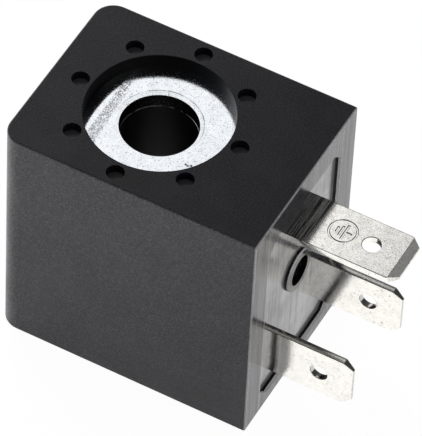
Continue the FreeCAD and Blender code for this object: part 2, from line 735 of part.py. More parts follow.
dress(housing_body, "Fillet", rounded_back, edges_where(rounded_back, outer_edge), "housing_edge_radius")
for end, level in (("upper", "housing_half_height"), ("lower", "-housing_half_height")):
    reverse = end == "lower"
    recess = new_sketch(housing_body, f"{end}_recess", "XY_Plane", level)
    add_circle(recess, "0", "0", "end_recess_diameter")
    pocket(housing_body, recess, "end_cut_depth", reverse)
    pin_hole = new_sketch(housing_body, f"{end}_pin_hole", "XY_Plane", level)
    add_circle(pin_hole, "pin_circle_radius", "0", "pin_hole_diameter")
    first_hole = pocket(housing_body, pin_hole, "pin_hole_depth", reverse)
    pattern = housing_body.newObject("PartDesign::PolarPattern", f"{end}_pin_holes")
    pattern.Originals = [first_hole]
    pattern.Axis = (origin_feature(housing_body, "Z_Axis"), [""])
    pattern.Angle = 360
    pattern.setExpression("Occurrences", "Sizes.pin_hole_count")
    housing_body.Tip = pattern
    doc.recompute()
through = new_sketch(housing_body, "housing_bore", "XY_Plane")
add_circle(through, "0", "0", "bore_diameter")
pocket(housing_body, through)

face = new_sketch(housing_body, "face_recess", "YZ_Plane", "housing_front")
add_polygon(face, [
    ("face_inner_half_width", "-face_low"),
    ("face_half_width", "-face_inner_low"),
    ("face_half_width", "face_inner_high"),
    ("face_inner_half_width", "face_high"),
    ("-face_inner_half_width", "face_high"),
    ("-face_half_width", "face_inner_high"),
    ("-face_half_width", "-face_inner_low"),
    ("-face_inner_half_width", "-face_low"),
])
add_circle(face, "0", "0", "screw_boss_diameter")
pocket(housing_body, face, "face_recess_depth")
for name, diameter, depth in (
    ("boss_face", "screw_boss_diameter", "screw_boss_setback"),
    ("screw_hole", "screw_hole_diameter", "screw_hole_depth"),
    ("screw_tip_hole", "screw_tip_diameter", "screw_hole_end"),
):
    circle = new_sketch(housing_body, name, "YZ_Plane", "housing_front")
    add_circle(circle, "0", "0", diameter)
    pocket(housing_body, circle, depth)

contents = joined("contents", [
    yoke, bobbin, winding, winding_tape, start_lead, finish_lead, solder_joints,
    terminal_1, terminal_2, earth_terminal, earth_rivet, fixing_nut,
])
housing = cut("housing", housing_body, contents)
doc.recompute()

NODES = [
    housing, yoke, bobbin, winding, winding_tape, start_lead, finish_lead, solder_joints,
    terminal_1, terminal_2, earth_terminal, earth_rivet, fixing_nut,
]
SOLIDS = {"solder_joints": 2}

for item in doc.Objects:
    for state in ("Invalid", "Error"):
        if state in item.State:
            raise RuntimeError(f"{item.Label} is in state {state}")
for node in NODES:
    if node.Shape.isNull() or not node.Shape.isValid():
        raise RuntimeError(f"{node.Label} has no valid shape")
    if len(node.Shape.Solids) != SOLIDS.get(node.Label, 1):
        raise RuntimeError(f"{node.Label} has {len(node.Shape.Solids)} solids")

os.makedirs("parts", exist_ok=True)
for node in NODES:
    node.Shape.exportStep(f"parts/{node.Label}.step")
    print(f"{node.Label}: {node.Shape.Volume:.2f} cubic mm, {len(node.Shape.Faces)} faces")
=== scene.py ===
"""Solenoid valve coil: a black moulding with a zinc-plated yoke and three tinned blades."""

import bpy
import numpy as np
from mathutils import Matrix, Vector
from mathutils.geometry import delaunay_2d_cdt


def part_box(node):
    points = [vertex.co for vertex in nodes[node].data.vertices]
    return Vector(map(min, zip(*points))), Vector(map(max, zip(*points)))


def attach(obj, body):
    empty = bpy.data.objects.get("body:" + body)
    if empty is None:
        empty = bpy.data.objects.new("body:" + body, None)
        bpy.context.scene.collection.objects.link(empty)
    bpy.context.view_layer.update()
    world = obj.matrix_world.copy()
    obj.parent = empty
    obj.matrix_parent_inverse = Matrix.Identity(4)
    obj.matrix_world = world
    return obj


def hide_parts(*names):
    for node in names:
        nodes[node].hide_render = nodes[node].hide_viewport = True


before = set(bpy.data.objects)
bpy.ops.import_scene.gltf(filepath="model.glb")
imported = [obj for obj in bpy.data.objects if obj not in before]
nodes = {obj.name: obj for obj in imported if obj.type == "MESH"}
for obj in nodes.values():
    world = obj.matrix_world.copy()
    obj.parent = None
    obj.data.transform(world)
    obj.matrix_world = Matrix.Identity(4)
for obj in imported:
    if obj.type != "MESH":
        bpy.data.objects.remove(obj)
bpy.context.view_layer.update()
MM = 0.001


# Camera: a long lens from above and to the left of the -Y side, as the photograph was taken.
# Its place and direction were fitted to the edges of the body, the recess and the blades.
SENSOR_WIDTH = 36.0
FRAME_LONG_SIDE = 436
FOCAL_PIXELS = 5433.8
camera_data = bpy.data.cameras.new("camera")
camera_data.sensor_width = SENSOR_WIDTH
camera_data.lens = FOCAL_PIXELS * SENSOR_WIDTH / FRAME_LONG_SIDE
camera_data.clip_start = 0.05
camera_data.clip_end = 20.0
camera = bpy.data.objects.new("camera", camera_data)
bpy.context.scene.collection.objects.link(camera)
bpy.context.scene.camera = camera
forward = Vector((-0.2873, 0.5817, -0.7609)).normalized()
level = Vector((0.8769, 0.4793, 0.0354))
upward = level.cross(forward).normalized()
sideways = forward.cross(upward).normalized()
camera.matrix_world = Matrix((sideways, upward, -forward)).transposed().to_4x4()
camera.location = Vector((167.99, -327.06, 429.89)) * MM


# Studio: a white sweep that carries the coil's shadow, under a sky that is dark on the
# photographer's side, with a large softbox above and behind the coil and a low, wide one
# that faces the blades.
def linear(code):
    """Linear RGBA of an sRGB hex colour."""
    parts = np.array([int(code[i:i + 2], 16) for i in (1, 3, 5)]) / 255.0
    curved = ((parts + 0.055) / 1.055) ** 2.4
    return (*np.where(parts <= 0.04045, parts / 12.92, curved), 1.0)


def add_node(tree, kind, inputs=None, **settings):
    """Node with its properties set, and its sockets given a value, a link or a node's first output."""
    made = tree.nodes.new(kind)
    for name, value in settings.items():
        setattr(made, name, value)
    for name, value in (inputs or {}).items():
        if isinstance(value, bpy.types.Node):
            value = value.outputs[0]
        if isinstance(value, bpy.types.NodeSocket):
            tree.links.new(value, made.inputs[name])
        else:
            made.inputs[name].default_value = value
    return made


floor_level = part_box("housing")[0].z
FLOOR_RADIUS = 3.0
FLOOR_SIDES = 96
angles = np.linspace(0, 2 * np.pi, FLOOR_SIDES, endpoint=False)
rim = np.stack([np.cos(angles), np.sin(angles), 0 * angles], axis=1) * FLOOR_RADIUS
rim[:, 2] = floor_level
floor_mesh = bpy.data.meshes.new("sweep")
floor_mesh.from_pydata(rim.tolist(), [], [list(range(len(rim)))])
floor = bpy.data.objects.new("sweep", floor_mesh)
bpy.context.scene.collection.objects.link(floor)

# Seen directly the paper is burnt out to white and keeps only a faint shadow. What the metal
# mirrors is the same paper with more of its own shading left, and its underside is clear.
SHADOW_SHARE = 0.22
WHITE_LIFT = 0.95
MIRRORED_SHARE = 0.80
MIRRORED_LIFT = 1.0
sweep_paper = bpy.data.materials.new("white_sweep_paper")
sweep_paper.use_nodes = True
tree = sweep_paper.node_tree
tree.nodes.clear()
rays = add_node(tree, "ShaderNodeLightPath")
paper = add_node(tree, "ShaderNodeBsdfDiffuse", {"Color": linear("#ebebeb")})
faint_paper = add_node(tree, "ShaderNodeBsdfDiffuse", {"Color": (SHADOW_SHARE,) * 3 + (1.0,)})
lift = add_node(tree, "ShaderNodeEmission", {"Color": linear("#ffffff"), "Strength": WHITE_LIFT})
seen = add_node(tree, "ShaderNodeAddShader", {0: faint_paper, 1: lift})
mirrored_share = add_node(tree, "ShaderNodeBsdfDiffuse", {"Color": (MIRRORED_SHARE,) * 3 + (1.0,)})
mirrored_lift = add_node(tree, "ShaderNodeEmission", {
    "Color": linear("#ffffff"), "Strength": MIRRORED_LIFT})
mirrored = add_node(tree, "ShaderNodeAddShader", {0: mirrored_share, 1: mirrored_lift})
to_lens = add_node(tree, "ShaderNodeMixShader", {0: rays.outputs["Is Camera Ray"], 1: paper, 2: seen})
to_metal = add_node(tree, "ShaderNodeMixShader", {
    0: rays.outputs["Is Glossy Ray"], 1: to_lens, 2: mirrored})
paper_side = add_node(tree, "ShaderNodeNewGeometry")
clear = add_node(tree, "ShaderNodeBsdfTransparent")
one_sided = add_node(tree, "ShaderNodeMixShader", {
    0: paper_side.outputs["Backfacing"], 1: to_metal, 2: clear})
add_node(tree, "ShaderNodeOutputMaterial", {"Surface": one_sided})
floor_mesh.materials.append(sweep_paper)

# The sky goes from dark, on the photographer's side, to a pale grey on the far side.
SKY_DARK = 0.08
SKY_PALE = 0.30
PALE_SIDE = (-0.85, 0.45, -0.25)
world = bpy.data.worlds.new("studio")
bpy.context.scene.world = world
world.use_nodes = True
tree = world.node_tree
tree.nodes.clear()
rays = add_node(tree, "ShaderNodeLightPath")
outlook = add_node(tree, "ShaderNodeTexCoord")
across_sky = add_node(tree, "ShaderNodeVectorMath", {
    0: outlook.outputs["Generated"], 1: PALE_SIDE}, operation="DOT_PRODUCT")
sky_level = add_node(tree, "ShaderNodeMapRange", {
    "Value": across_sky.outputs["Value"], "From Min": -0.5, "From Max": 0.9,
    "To Min": SKY_DARK, "To Max": SKY_PALE}, interpolation_type="SMOOTHSTEP")
sky = add_node(tree, "ShaderNodeBackground", {"Color": linear("#f6f8ff"), "Strength": sky_level})
backdrop = add_node(tree, "ShaderNodeBackground", {"Color": linear("#ffffff"), "Strength": 1.0})
seen = add_node(tree, "ShaderNodeMixShader", {0: rays.outputs["Is Camera Ray"], 1: sky, 2: backdrop})
add_node(tree, "ShaderNodeOutputWorld", {"Surface": seen})


def add_softbox(name, aim, place, width, height, level):
    """Area lamp facing a point, whose face is as bright as the level, 1 being white."""
    lamp = bpy.data.lights.new(name, "AREA")
    lamp.shape = "RECTANGLE"
    lamp.size = width
    lamp.size_y = height
    lamp.energy = level * np.pi * width * height
    softbox = bpy.data.objects.new(name, lamp)
    bpy.context.scene.collection.objects.link(softbox)
    softbox.location = place
    softbox.rotation_euler = (Vector(aim) - Vector(place)).to_track_quat("-Z", "Y").to_euler()
    softbox.visible_camera = False


SOFTBOX_DISTANCE = 0.42
COIL_MIDDLE = (0.0, 0.0, 0.0)
for name, direction, width, height, brightness in (
    ("softbox_above", (-0.595, 0.454, 0.663), 0.36, 0.26, 0.90),
    ("softbox_right", (0.86, -0.27, 0.32), 0.40, 0.22, 1.0),
):
    softbox_place = Vector(direction).normalized() * SOFTBOX_DISTANCE
    add_softbox(name, COIL_MIDDLE, softbox_place, width, height, brightness)


# Bobbin: the spool that the coil is wound on, moulded in black glass-filled nylon.
# Its bore is the dark wall seen below the yoke; its lower flange carries the terminals' towers.
def start_material(name):
    """Material with a Principled shader wired up, and its place on the object in millimetres."""
    material = bpy.data.materials.new(name)
    material.use_nodes = True
    tree = material.node_tree
    tree.nodes.clear()
    shader = add_node(tree, "ShaderNodeBsdfPrincipled")
    add_node(tree, "ShaderNodeOutputMaterial", {"Surface": shader})
    object_place = add_node(tree, "ShaderNodeTexCoord").outputs["Object"]
    in_mm = add_node(tree, "ShaderNodeVectorMath", {
        0: object_place, "Scale": 1 / MM}, operation="SCALE")
    return material, tree, shader, in_mm.outputs[0]


def finish_nodes(names, material):
    """Give carried-over CAD nodes their finish."""
    for name in names:
        mesh = nodes[name].data
        mesh.materials.clear()
        mesh.materials.append(material)


# Satin black with a faint mottle. The tool's grain is about 0.05 mm, too fine to show, so it
# is drawn five times as coarse.
BOBBIN_GRAIN = 0.25
BOBBIN_RELIEF = 0.01
bobbin_nylon, tree, shader, place = start_material("bobbin_nylon_smooth_moulded")
shader.inputs["Base Color"].default_value = linear("#101011")
shader.inputs["IOR"].default_value = 1.53
grain = add_node(tree, "ShaderNodeTexNoise", {
    "Vector": place, "Scale": 1 / BOBBIN_GRAIN, "Detail": 3.0, "Roughness": 0.6})
satin = add_node(tree, "ShaderNodeMapRange", {
    "Value": grain, "From Min": 0.3, "From Max": 0.7, "To Min": 0.38, "To Max": 0.5})
tree.links.new(satin.outputs[0], shader.inputs["Roughness"])
uneven = add_node(tree, "ShaderNodeBump", {
    "Height": grain, "Strength": 0.3, "Distance": BOBBIN_RELIEF * MM})
tree.links.new(uneven.outputs[0], shader.inputs["Normal"])
finish_nodes(["bobbin"], bobbin_nylon)


# Winding and its two ends: round copper wire with a clear amber enamel, laid turn by turn.
# The enamel gives the copper a warm gloss. Each turn is painted dark in the groove between turns, as
# painted shade, and light on its crown, as a painted highlight.
WIRE_PITCH = 0.28
WIRE_ROUND = 0.08
WAVE_PERIOD_AT_SCALE_1 = 2 * np.pi / 20
copper, tree, shader, place = start_material("enamelled_copper_winding_wire")
shader.inputs["Metallic"].default_value = 1.0
shader.inputs["Roughness"].default_value = 0.28
shader.inputs["Coat Weight"].default_value = 0.8
shader.inputs["Coat Roughness"].default_value = 0.08
turns = add_node(tree, "ShaderNodeTexWave", {
    "Vector": place, "Scale": WAVE_PERIOD_AT_SCALE_1 / WIRE_PITCH, "Distortion": 0.0},
    wave_type="BANDS", bands_direction="Z", wave_profile="SIN")
# Painted shade in the grooves between turns and a painted highlight on each turn's crown.
wire_shade_and_highlight = add_node(tree, "ShaderNodeMix", {
    "Factor": turns.outputs["Fac"], 6: linear("#5c2a12"), 7: linear("#b9672f")}, data_type="RGBA")
tree.links.new(wire_shade_and_highlight.outputs[2], shader.inputs["Base Color"])
rounded = add_node(tree, "ShaderNodeBump", {
    "Height": turns.outputs["Fac"], "Strength": 1.0, "Distance": WIRE_ROUND * MM})
tree.links.new(rounded.outputs[0], shader.inputs["Normal"])
finish_nodes(["winding"], copper)

# The two ends are the same wire, seen singly: glossy amber, a little paler where it was handled.
HANDLED_PATCH = 0.9
lead_enamel, tree, shader, place = start_material("enamelled_copper_lead")
shader.inputs["Metallic"].default_value = 1.0
shader.inputs["Roughness"].default_value = 0.25
shader.inputs["Coat Weight"].default_value = 0.8
handled = add_node(tree, "ShaderNodeTexNoise", {
    "Vector": place, "Scale": 1 / HANDLED_PATCH, "Detail": 2.0})
lead_tone = add_node(tree, "ShaderNodeMix", {
    "Factor": handled, 6: linear("#96491f"), 7: linear("#c47a3c")}, data_type="RGBA")
tree.links.new(lead_tone.outputs[2], shader.inputs["Base Color"])
finish_nodes(["start_lead", "finish_lead"], lead_enamel)


# Winding tape: clear amber polyester film wound over the wire and lapped onto itself.
# It looks glossy and golden, with a low step and a darker strip at each lap.
TAPE_LAP = 4.5
LAP_STEP = 0.05
film, tree, shader, place = start_material("polyester_film_tape")
shader.inputs["Roughness"].default_value = 0.16
shader.inputs["IOR"].default_value = 1.6
laps = add_node(tree, "ShaderNodeTexWave", {
    "Vector": place, "Scale": WAVE_PERIOD_AT_SCALE_1 / TAPE_LAP, "Distortion": 0.4},
    wave_type="BANDS", bands_direction="Z", wave_profile="SAW")
film_tone = add_node(tree, "ShaderNodeMix", {
    "Factor": laps.outputs["Fac"], 6: linear("#a8701c"), 7: linear("#c98f2c")}, data_type="RGBA")
tree.links.new(film_tone.outputs[2], shader.inputs["Base Color"])
lap_step = add_node(tree, "ShaderNodeBump", {
    "Height": laps.outputs["Fac"], "Strength": 0.6, "Distance": LAP_STEP * MM})
tree.links.new(lap_step.outputs[0], shader.inputs["Normal"])
finish_nodes(["winding_tape"], film)


# Line terminals: tabs stamped from 0.8 mm brass strip and tin-plated all over.
# The press rolls their edges over slightly, and coins the tips thinner to enter a receptacle.
TAB_HALF_THICK = 0.40
EDGE_ROLL = 0.07
ROLL_MARGIN = 0.05
ROLL_STEPS = 4
COINED_RUN = 0.95
COINED_DEPTH = 0.20
CREASE_ANGLE = np.radians(30)
OUT_OF_REACH = 1e3
MERGE_DISTANCE = 1e-5


def circle(across, up, radius, count=48):
    """Anticlockwise points at equal angles round a centre."""
    turn = np.linspace(0, 2 * np.pi, count, endpoint=False)
    return np.stack([across + radius * np.cos(turn), up + radius * np.sin(turn)], axis=1)


def inset(loop, distance):
    """Closed loop moved to its left: each corner goes by the distance times the sum of its two
    sides' left-hand normals, over one plus their dot product."""
    along = np.roll(loop, -1, axis=0) - loop
    along /= np.linalg.norm(along, axis=1, keepdims=True)
    after = np.stack([-along[:, 1], along[:, 0]], axis=1)
    before = np.roll(after, 1, axis=0)
    return loop + distance * (before + after) / (1 + np.sum(before * after, axis=1, keepdims=True))


def stamped_tab(name, outline, holes, folds, stamps, bend):
    """Strip-metal tab with rolled edges, holes, a coined tip and sunk stamps.

    Every edge is a profile carried along its loop: at angle a round the roll it lies
    r (1 - cos a) inside the outline and r (1 - sin a) short of the face, and the face itself
    sinks evenly by the coined depth over the last run to the tip. Triangles fill the faces
    between the loops, the folds across them and the stamps' lines, which are sunk by their
    depths. Then bend takes the flat tab to its place.
    """
    fold = outline[:, 0].max() - COINED_RUN

    def face_height(along):
        return TAB_HALF_THICK - COINED_DEPTH * np.clip((along - fold) / COINED_RUN, 0, 1)

    turn = np.linspace(np.pi / 2, 0, ROLL_STEPS + 1)
    inward = np.append(EDGE_ROLL + ROLL_MARGIN, EDGE_ROLL * (1 - np.cos(turn)))
    short = np.append(0, EDGE_ROLL * (1 - np.sin(turn)))
    inward = np.concatenate([inward, inward[::-1]])
    short = np.concatenate([short, short[::-1]])[:, None]
    which_face = np.repeat([-1, 1], ROLL_STEPS + 2)[:, None]
    points, sides, low_rings, high_rings = [], [], [], []
    count = 0
    for loop in [outline] + [hole[::-1] for hole in holes]:
        flat = np.stack([inset(loop, distance) for distance in inward])
        height = which_face * (face_height(flat[..., 0]) - short)
        points.append(np.concatenate([flat, height[..., None]], axis=2).reshape(-1, 3))
        index = count + np.arange(height.size).reshape(height.shape)
        count += height.size
        ahead = np.roll(index, -1, axis=1)
        sides.append(np.stack([index[:-1], ahead[:-1], ahead[1:], index[1:]], axis=2).reshape(-1, 4))
        low_rings.append(index[0])
        high_rings.append(index[-1])
    faces = np.concatenate(sides).tolist()
    smooth = len(faces)
    for rings, lines, up in ((low_rings, [], -1), (high_rings, stamps, 1)):
        loops = list(rings)
        for line, depth in lines:
            points.append(np.column_stack([line, face_height(line[:, 0]) - depth]))
            loops.append(count + np.arange(len(line)))
            count += len(line)
        used = np.concatenate(loops)
        flat = np.concatenate(points)[used, :2]
        owner = np.repeat(np.arange(len(loops)), [len(loop) for loop in loops])
        starts = np.cumsum([0] + [len(loop) for loop in loops[:-1]])
        edges = []
        for start, loop in zip(starts, loops):
            along_loop = np.arange(len(loop))
            edges.append(start + np.stack([along_loop, np.roll(along_loop, -1)], axis=1))
        for fold_line in np.append(folds, fold):
            away = np.abs(flat[:, 0] - fold_line) + OUT_OF_REACH * (owner > 0)
            pair = [np.argmin(away + OUT_OF_REACH * (flat[:, 1] * side < 0)) for side in (-1, 1)]
            edges.append(np.array([pair]))
        cut = delaunay_2d_cdt([Vector(point) for point in flat.tolist()],
                              np.concatenate(edges).tolist(), [], 1, MERGE_DISTANCE)
        source = np.array([found[0] for found in cut[3]])
        corners = source[np.array(cut[2])]
        owners = owner[corners]
        of_hole = (owners[:, 0] > 0) & (owners[:, 0] <= len(holes))
        in_hole = of_hole & (owners == owners[:, :1]).all(axis=1)
        faces += used[corners[~in_hole]][:, ::up].tolist()
    mesh = bpy.data.meshes.new(name)
    mesh.from_pydata((bend(np.concatenate(points)) * MM).tolist(), [], faces)
    mesh.set_sharp_from_angle(angle=CREASE_ANGLE)
    mesh.polygons.foreach_set("use_smooth", np.arange(len(faces)) < smooth)
    tab = bpy.data.objects.new(name, mesh)
    bpy.context.scene.collection.objects.link(tab)
    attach(tab, "root")
    return tab


# Tin plate is a bright, slightly milky mirror. Rolling lines, pits and dull blotches show as
# fine streaks and grey specks. Real lines and pits are under 0.05 mm, so they are drawn a few
# times as coarse, and their relief stays a few thousandths of a millimetre deep.
TIN = linear("#f2f0ea")
TIN_DULL = linear("#c9c6be")
TIN_STAIN = linear("#55524c")
ROLLING_LENGTH = 1.4
ROLLING_WIDTH = 0.09
FINE_PIT = 0.2
BLOTCH = 0.7
TIN_RELIEF = 0.004
# The sloping sides of the earth sign's strokes, halfway down the stamp, are painted dark: painted shade.
SIGN_MIDDLE = 21.5
SIGN_REACH = 2.2
SIGN_HALF_WIDTH = 2.0
STAMP_LEVEL = 8.755
STAMP_SHADE_BAND = 0.07
STAMP_SHADE_PART = 0.9
# The press scored the earth tab's upper face in a band that ends past its bend. That band is painted
# darker in streaks, a painted reflection of the black body.
EARTH_FACE_LEVEL = 8.74
SCORES_FADE = 18.6
SCORES_END = 19.3
BEND_MARK_WIDTH = 0.16
BEND_MARK_LENGTH = 5.0
SCORED_ROUGHNESS = 0.42
# The die left the earth blade's coined tip matt, and the line blades' edges are made darker.
EARTH_TIP = 29.15
COINED_ROUGHNESS = 0.7
LINE_TABS_BELOW = -3.5
BROAD_FACE = 0.9
LINE_EDGE_DARK_SHARE = 0.45


def face_turn(tree):
    """Geometry node, and how far a face's own normal goes along each axis, either way."""
    shape = add_node(tree, "ShaderNodeNewGeometry")
    facing = add_node(tree, "ShaderNodeVectorMath", {
        0: shape.outputs["True Normal"]}, operation="ABSOLUTE")
    return shape, add_node(tree, "ShaderNodeSeparateXYZ", {0: facing})


tin_plate, tree, shader, place = start_material("tin_plate_on_stamped_brass")
shader.inputs["Metallic"].default_value = 1.0
spot = add_node(tree, "ShaderNodeSeparateXYZ", {0: place})
rolled = add_node(tree, "ShaderNodeMapping", {
    "Vector": place, "Scale": (1 / ROLLING_LENGTH, 1 / ROLLING_WIDTH, 1 / ROLLING_WIDTH)})
streaks = add_node(tree, "ShaderNodeTexNoise", {
    "Vector": rolled, "Scale": 1.0, "Detail": 3.0, "Roughness": 0.6})
pits = add_node(tree, "ShaderNodeTexNoise", {
    "Vector": place, "Scale": 1 / FINE_PIT, "Detail": 3.0, "Roughness": 0.7})
blotches = add_node(tree, "ShaderNodeTexNoise", {
    "Vector": place, "Scale": 1 / BLOTCH, "Detail": 5.0, "Roughness": 0.7})
dulled = add_node(tree, "ShaderNodeMapRange", {
    "Value": blotches, "From Min": 0.45, "From Max": 0.70, "To Max": 0.35})
tin_tone = add_node(tree, "ShaderNodeMix", {"Factor": dulled, 6: TIN, 7: TIN_DULL}, data_type="RGBA")
stained = add_node(tree, "ShaderNodeMapRange", {
    "Value": pits, "From Min": 0.60, "From Max": 0.65, "To Max": 0.65})
pitted_tone = add_node(tree, "ShaderNodeMix", {
    "Factor": stained, 6: tin_tone.outputs[2], 7: TIN_STAIN}, data_type="RGBA")
# Painted shade: the sloping sides of the sign's strokes are painted dark.
in_stamp = add_node(tree, "ShaderNodeMath", {
    0: spot.outputs["Z"], 1: STAMP_LEVEL, 2: STAMP_SHADE_BAND / 2}, operation="COMPARE")
near_middle = add_node(tree, "ShaderNodeMath", {
    0: spot.outputs["Y"], 1: 0.0, 2: SIGN_HALF_WIDTH}, operation="COMPARE")
along_sign = add_node(tree, "ShaderNodeMath", {
    0: spot.outputs["X"], 1: SIGN_MIDDLE, 2: SIGN_REACH}, operation="COMPARE")
in_sign = add_node(tree, "ShaderNodeMath", {0: near_middle, 1: along_sign}, operation="MULTIPLY")
stamp_painted_shade = add_node(tree, "ShaderNodeMath", {0: in_stamp, 1: in_sign}, operation="MULTIPLY")
stamp_shade_part = add_node(tree, "ShaderNodeMath", {0: stamp_painted_shade, 1: STAMP_SHADE_PART}, operation="MULTIPLY")
stretched = add_node(tree, "ShaderNodeMapping", {
    "Vector": place, "Scale": (1 / BEND_MARK_WIDTH, 1 / BEND_MARK_LENGTH, 1 / BEND_MARK_LENGTH)})
bend_marks = add_node(tree, "ShaderNodeTexNoise", {
    "Vector": stretched, "Scale": 1.0, "Detail": 3.0, "Roughness": 0.6})
# Painted reflection: by the root, the tab's upper face is painted darker in streaks where it mirrors the
# black body.
root_reflection_dark = add_node(tree, "ShaderNodeMapRange", {
    "Value": bend_marks, "From Min": 0.48, "From Max": 0.60, "To Max": 0.8})
near_bend = add_node(tree, "ShaderNodeMapRange", {
    "Value": spot.outputs["X"], "From Min": SCORES_FADE, "From Max": SCORES_END,
    "To Min": 1.0, "To Max": 0.0})
upper_tab = add_node(tree, "ShaderNodeMath", {
    0: spot.outputs["Z"], 1: EARTH_FACE_LEVEL}, operation="GREATER_THAN")
bend_place = add_node(tree, "ShaderNodeMath", {0: near_bend, 1: upper_tab}, operation="MULTIPLY")
painted_root_reflection = add_node(tree, "ShaderNodeMath", {0: bend_place, 1: root_reflection_dark}, operation="MULTIPLY")
stamp_shade_and_root_reflection = add_node(tree, "ShaderNodeMath", {0: stamp_shade_part, 1: painted_root_reflection}, operation="MAXIMUM")
shape, facing_axes = face_turn(tree)
off_face = add_node(tree, "ShaderNodeMath", {
    0: facing_axes.outputs["Y"], 1: BROAD_FACE}, operation="LESS_THAN")
# The line blades' edges, off their broad faces, are made darker towards the stained tone.
line_tab = add_node(tree, "ShaderNodeMath", {
    0: spot.outputs["Z"], 1: LINE_TABS_BELOW}, operation="LESS_THAN")
sheared = add_node(tree, "ShaderNodeMath", {0: off_face, 1: line_tab}, operation="MULTIPLY")
line_edge_dark = add_node(tree, "ShaderNodeMath", {0: sheared, 1: LINE_EDGE_DARK_SHARE}, operation="MULTIPLY")
dark_parts = add_node(tree, "ShaderNodeMath", {0: stamp_shade_and_root_reflection, 1: line_edge_dark}, operation="MAXIMUM")
tin_marked = add_node(tree, "ShaderNodeMix", {
    "Factor": dark_parts, 6: pitted_tone.outputs[2], 7: TIN_STAIN}, data_type="RGBA")
tree.links.new(tin_marked.outputs[2], shader.inputs["Base Color"])
polish = add_node(tree, "ShaderNodeMapRange", {
    "Value": blotches, "From Min": 0.35, "From Max": 0.7, "To Min": 0.08, "To Max": 0.15})
past_fold = add_node(tree, "ShaderNodeMath", {
    0: spot.outputs["X"], 1: EARTH_TIP - COINED_RUN}, operation="GREATER_THAN")
polish_dulled = add_node(tree, "ShaderNodeMix", {
    0: past_fold, 2: polish, 3: COINED_ROUGHNESS}, data_type="FLOAT")
bend_light = add_node(tree, "ShaderNodeMapRange", {
    "Value": bend_marks, "From Min": 0.50, "From Max": 0.42})
bend_scored = add_node(tree, "ShaderNodeMath", {0: bend_place, 1: bend_light}, operation="MULTIPLY")
tin_roughness = add_node(tree, "ShaderNodeMix", {
    0: bend_scored, 2: polish_dulled, 3: SCORED_ROUGHNESS}, data_type="FLOAT")
tree.links.new(tin_roughness.outputs[0], shader.inputs["Roughness"])
relief = add_node(tree, "ShaderNodeMath", {0: streaks, 1: pits}, operation="ADD")
brushed = add_node(tree, "ShaderNodeBump", {
    "Height": relief, "Strength": 1.0, "Distance": TIN_RELIEF * MM})
tree.links.new(brushed.outputs[0], shader.inputs["Normal"])

BLADE_HALF = 3.15
BLADE_HOLE_RADIUS = 1.0
CUT_RUN = 1.10
CUT_DROP = 0.90


def cut_tip(tip):
    """Blade's edge from the start of its cut corner, over the coined tip's fold, to the tip.

    The cut falls evenly by its drop over its run, so at the fold it has fallen by the share
    of the run that lies before the fold, times the drop.
    """
    fallen = CUT_DROP * (CUT_RUN - COINED_RUN) / CUT_RUN
    return [
        (tip - CUT_RUN, -BLADE_HALF), (tip - COINED_RUN, fallen - BLADE_HALF),
        (tip, CUT_DROP - BLADE_HALF)]


# A line terminal runs from its tail, which is barbed to stay in the bobbin's tower, over the
# neck with the post for the wire to the blade. The post stands between the neck's two corners.
TAIL_END, TAIL_HALF = 10.0, 1.3
BARB_START, BARB_END, BARB_HALF = 10.9, 11.8, 1.5
NECK_START, NECK_HALF = 13.0, 2.0
POST_START, POST_END, POST_REACH = 13.3, 14.3, 5.5
LINE_ROOT, LINE_TIP, LINE_HOLE = 15.6, 26.55, 22.70
LINE_OFFSET, LINE_LEVEL = 5.5, -6.9
CORNERS_BEFORE_POST = 5
line_half = np.array([
    (TAIL_END, -TAIL_HALF), (BARB_START, -TAIL_HALF), (BARB_END, -BARB_HALF), (BARB_END, -TAIL_HALF),
    (NECK_START, -TAIL_HALF), (NECK_START, -NECK_HALF), (LINE_ROOT, -NECK_HALF), (LINE_ROOT, -BLADE_HALF),
    *cut_tip(LINE_TIP)])
post = np.array([
    (POST_END, NECK_HALF), (POST_END, POST_REACH), (POST_START, POST_REACH), (POST_START, NECK_HALF)])
other_half = line_half[::-1] * (1, -1)
line_outline = np.concatenate([
    line_half, other_half[:CORNERS_BEFORE_POST], post, other_half[CORNERS_BEFORE_POST:]])
set_upright = np.array([(1, 0, 0), (0, 0, 1), (0, -1, 0)])
for name, offset in (("terminal_1", -LINE_OFFSET), ("terminal_2", LINE_OFFSET)):
    blade = stamped_tab(
        f"{name}_stamped_tab", line_outline, [circle(LINE_HOLE, 0, BLADE_HOLE_RADIUS)], [], [],
        lambda flat, offset=offset: flat @ set_upright + (0, offset, LINE_LEVEL))
    blade.data.materials.append(tin_plate)
    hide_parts(name)


# Solder: a bright tin-lead barrel on each post, wetted up the wire.
# It froze smooth, so it mirrors, with a faint dullness where the flux boiled off.
def patchy_metal(name, patch, dark, pale, smooth, rough):
    """Metal whose tone and roughness both vary with one noise, over patches of a size in mm."""
    material, tree, shader, place = start_material(name)
    shader.inputs["Metallic"].default_value = 1.0
    patches = add_node(tree, "ShaderNodeTexNoise", {"Vector": place, "Scale": 1 / patch, "Detail": 3.0})
    tone = add_node(tree, "ShaderNodeMix", {
        "Factor": patches, 6: linear(dark), 7: linear(pale)}, data_type="RGBA")
    tree.links.new(tone.outputs[2], shader.inputs["Base Color"])
    roughness = add_node(tree, "ShaderNodeMapRange", {
        "Value": patches, "From Min": 0.3, "From Max": 0.7, "To Min": smooth, "To Max": rough})
    tree.links.new(roughness.outputs[0], shader.inputs["Roughness"])
    return material


DULL_PATCH = 0.5
solder = patchy_metal("bright_tin_lead_solder", DULL_PATCH, "#b9b9b8", "#dededc", 0.12, 0.3)
finish_nodes(["solder_joints"], solder)


# Yoke: zinc-plated strip steel bent to a C, bright where it is clean.
# Bending scuffed the plate in a band before the bend, and the punch left a ring round the bore.

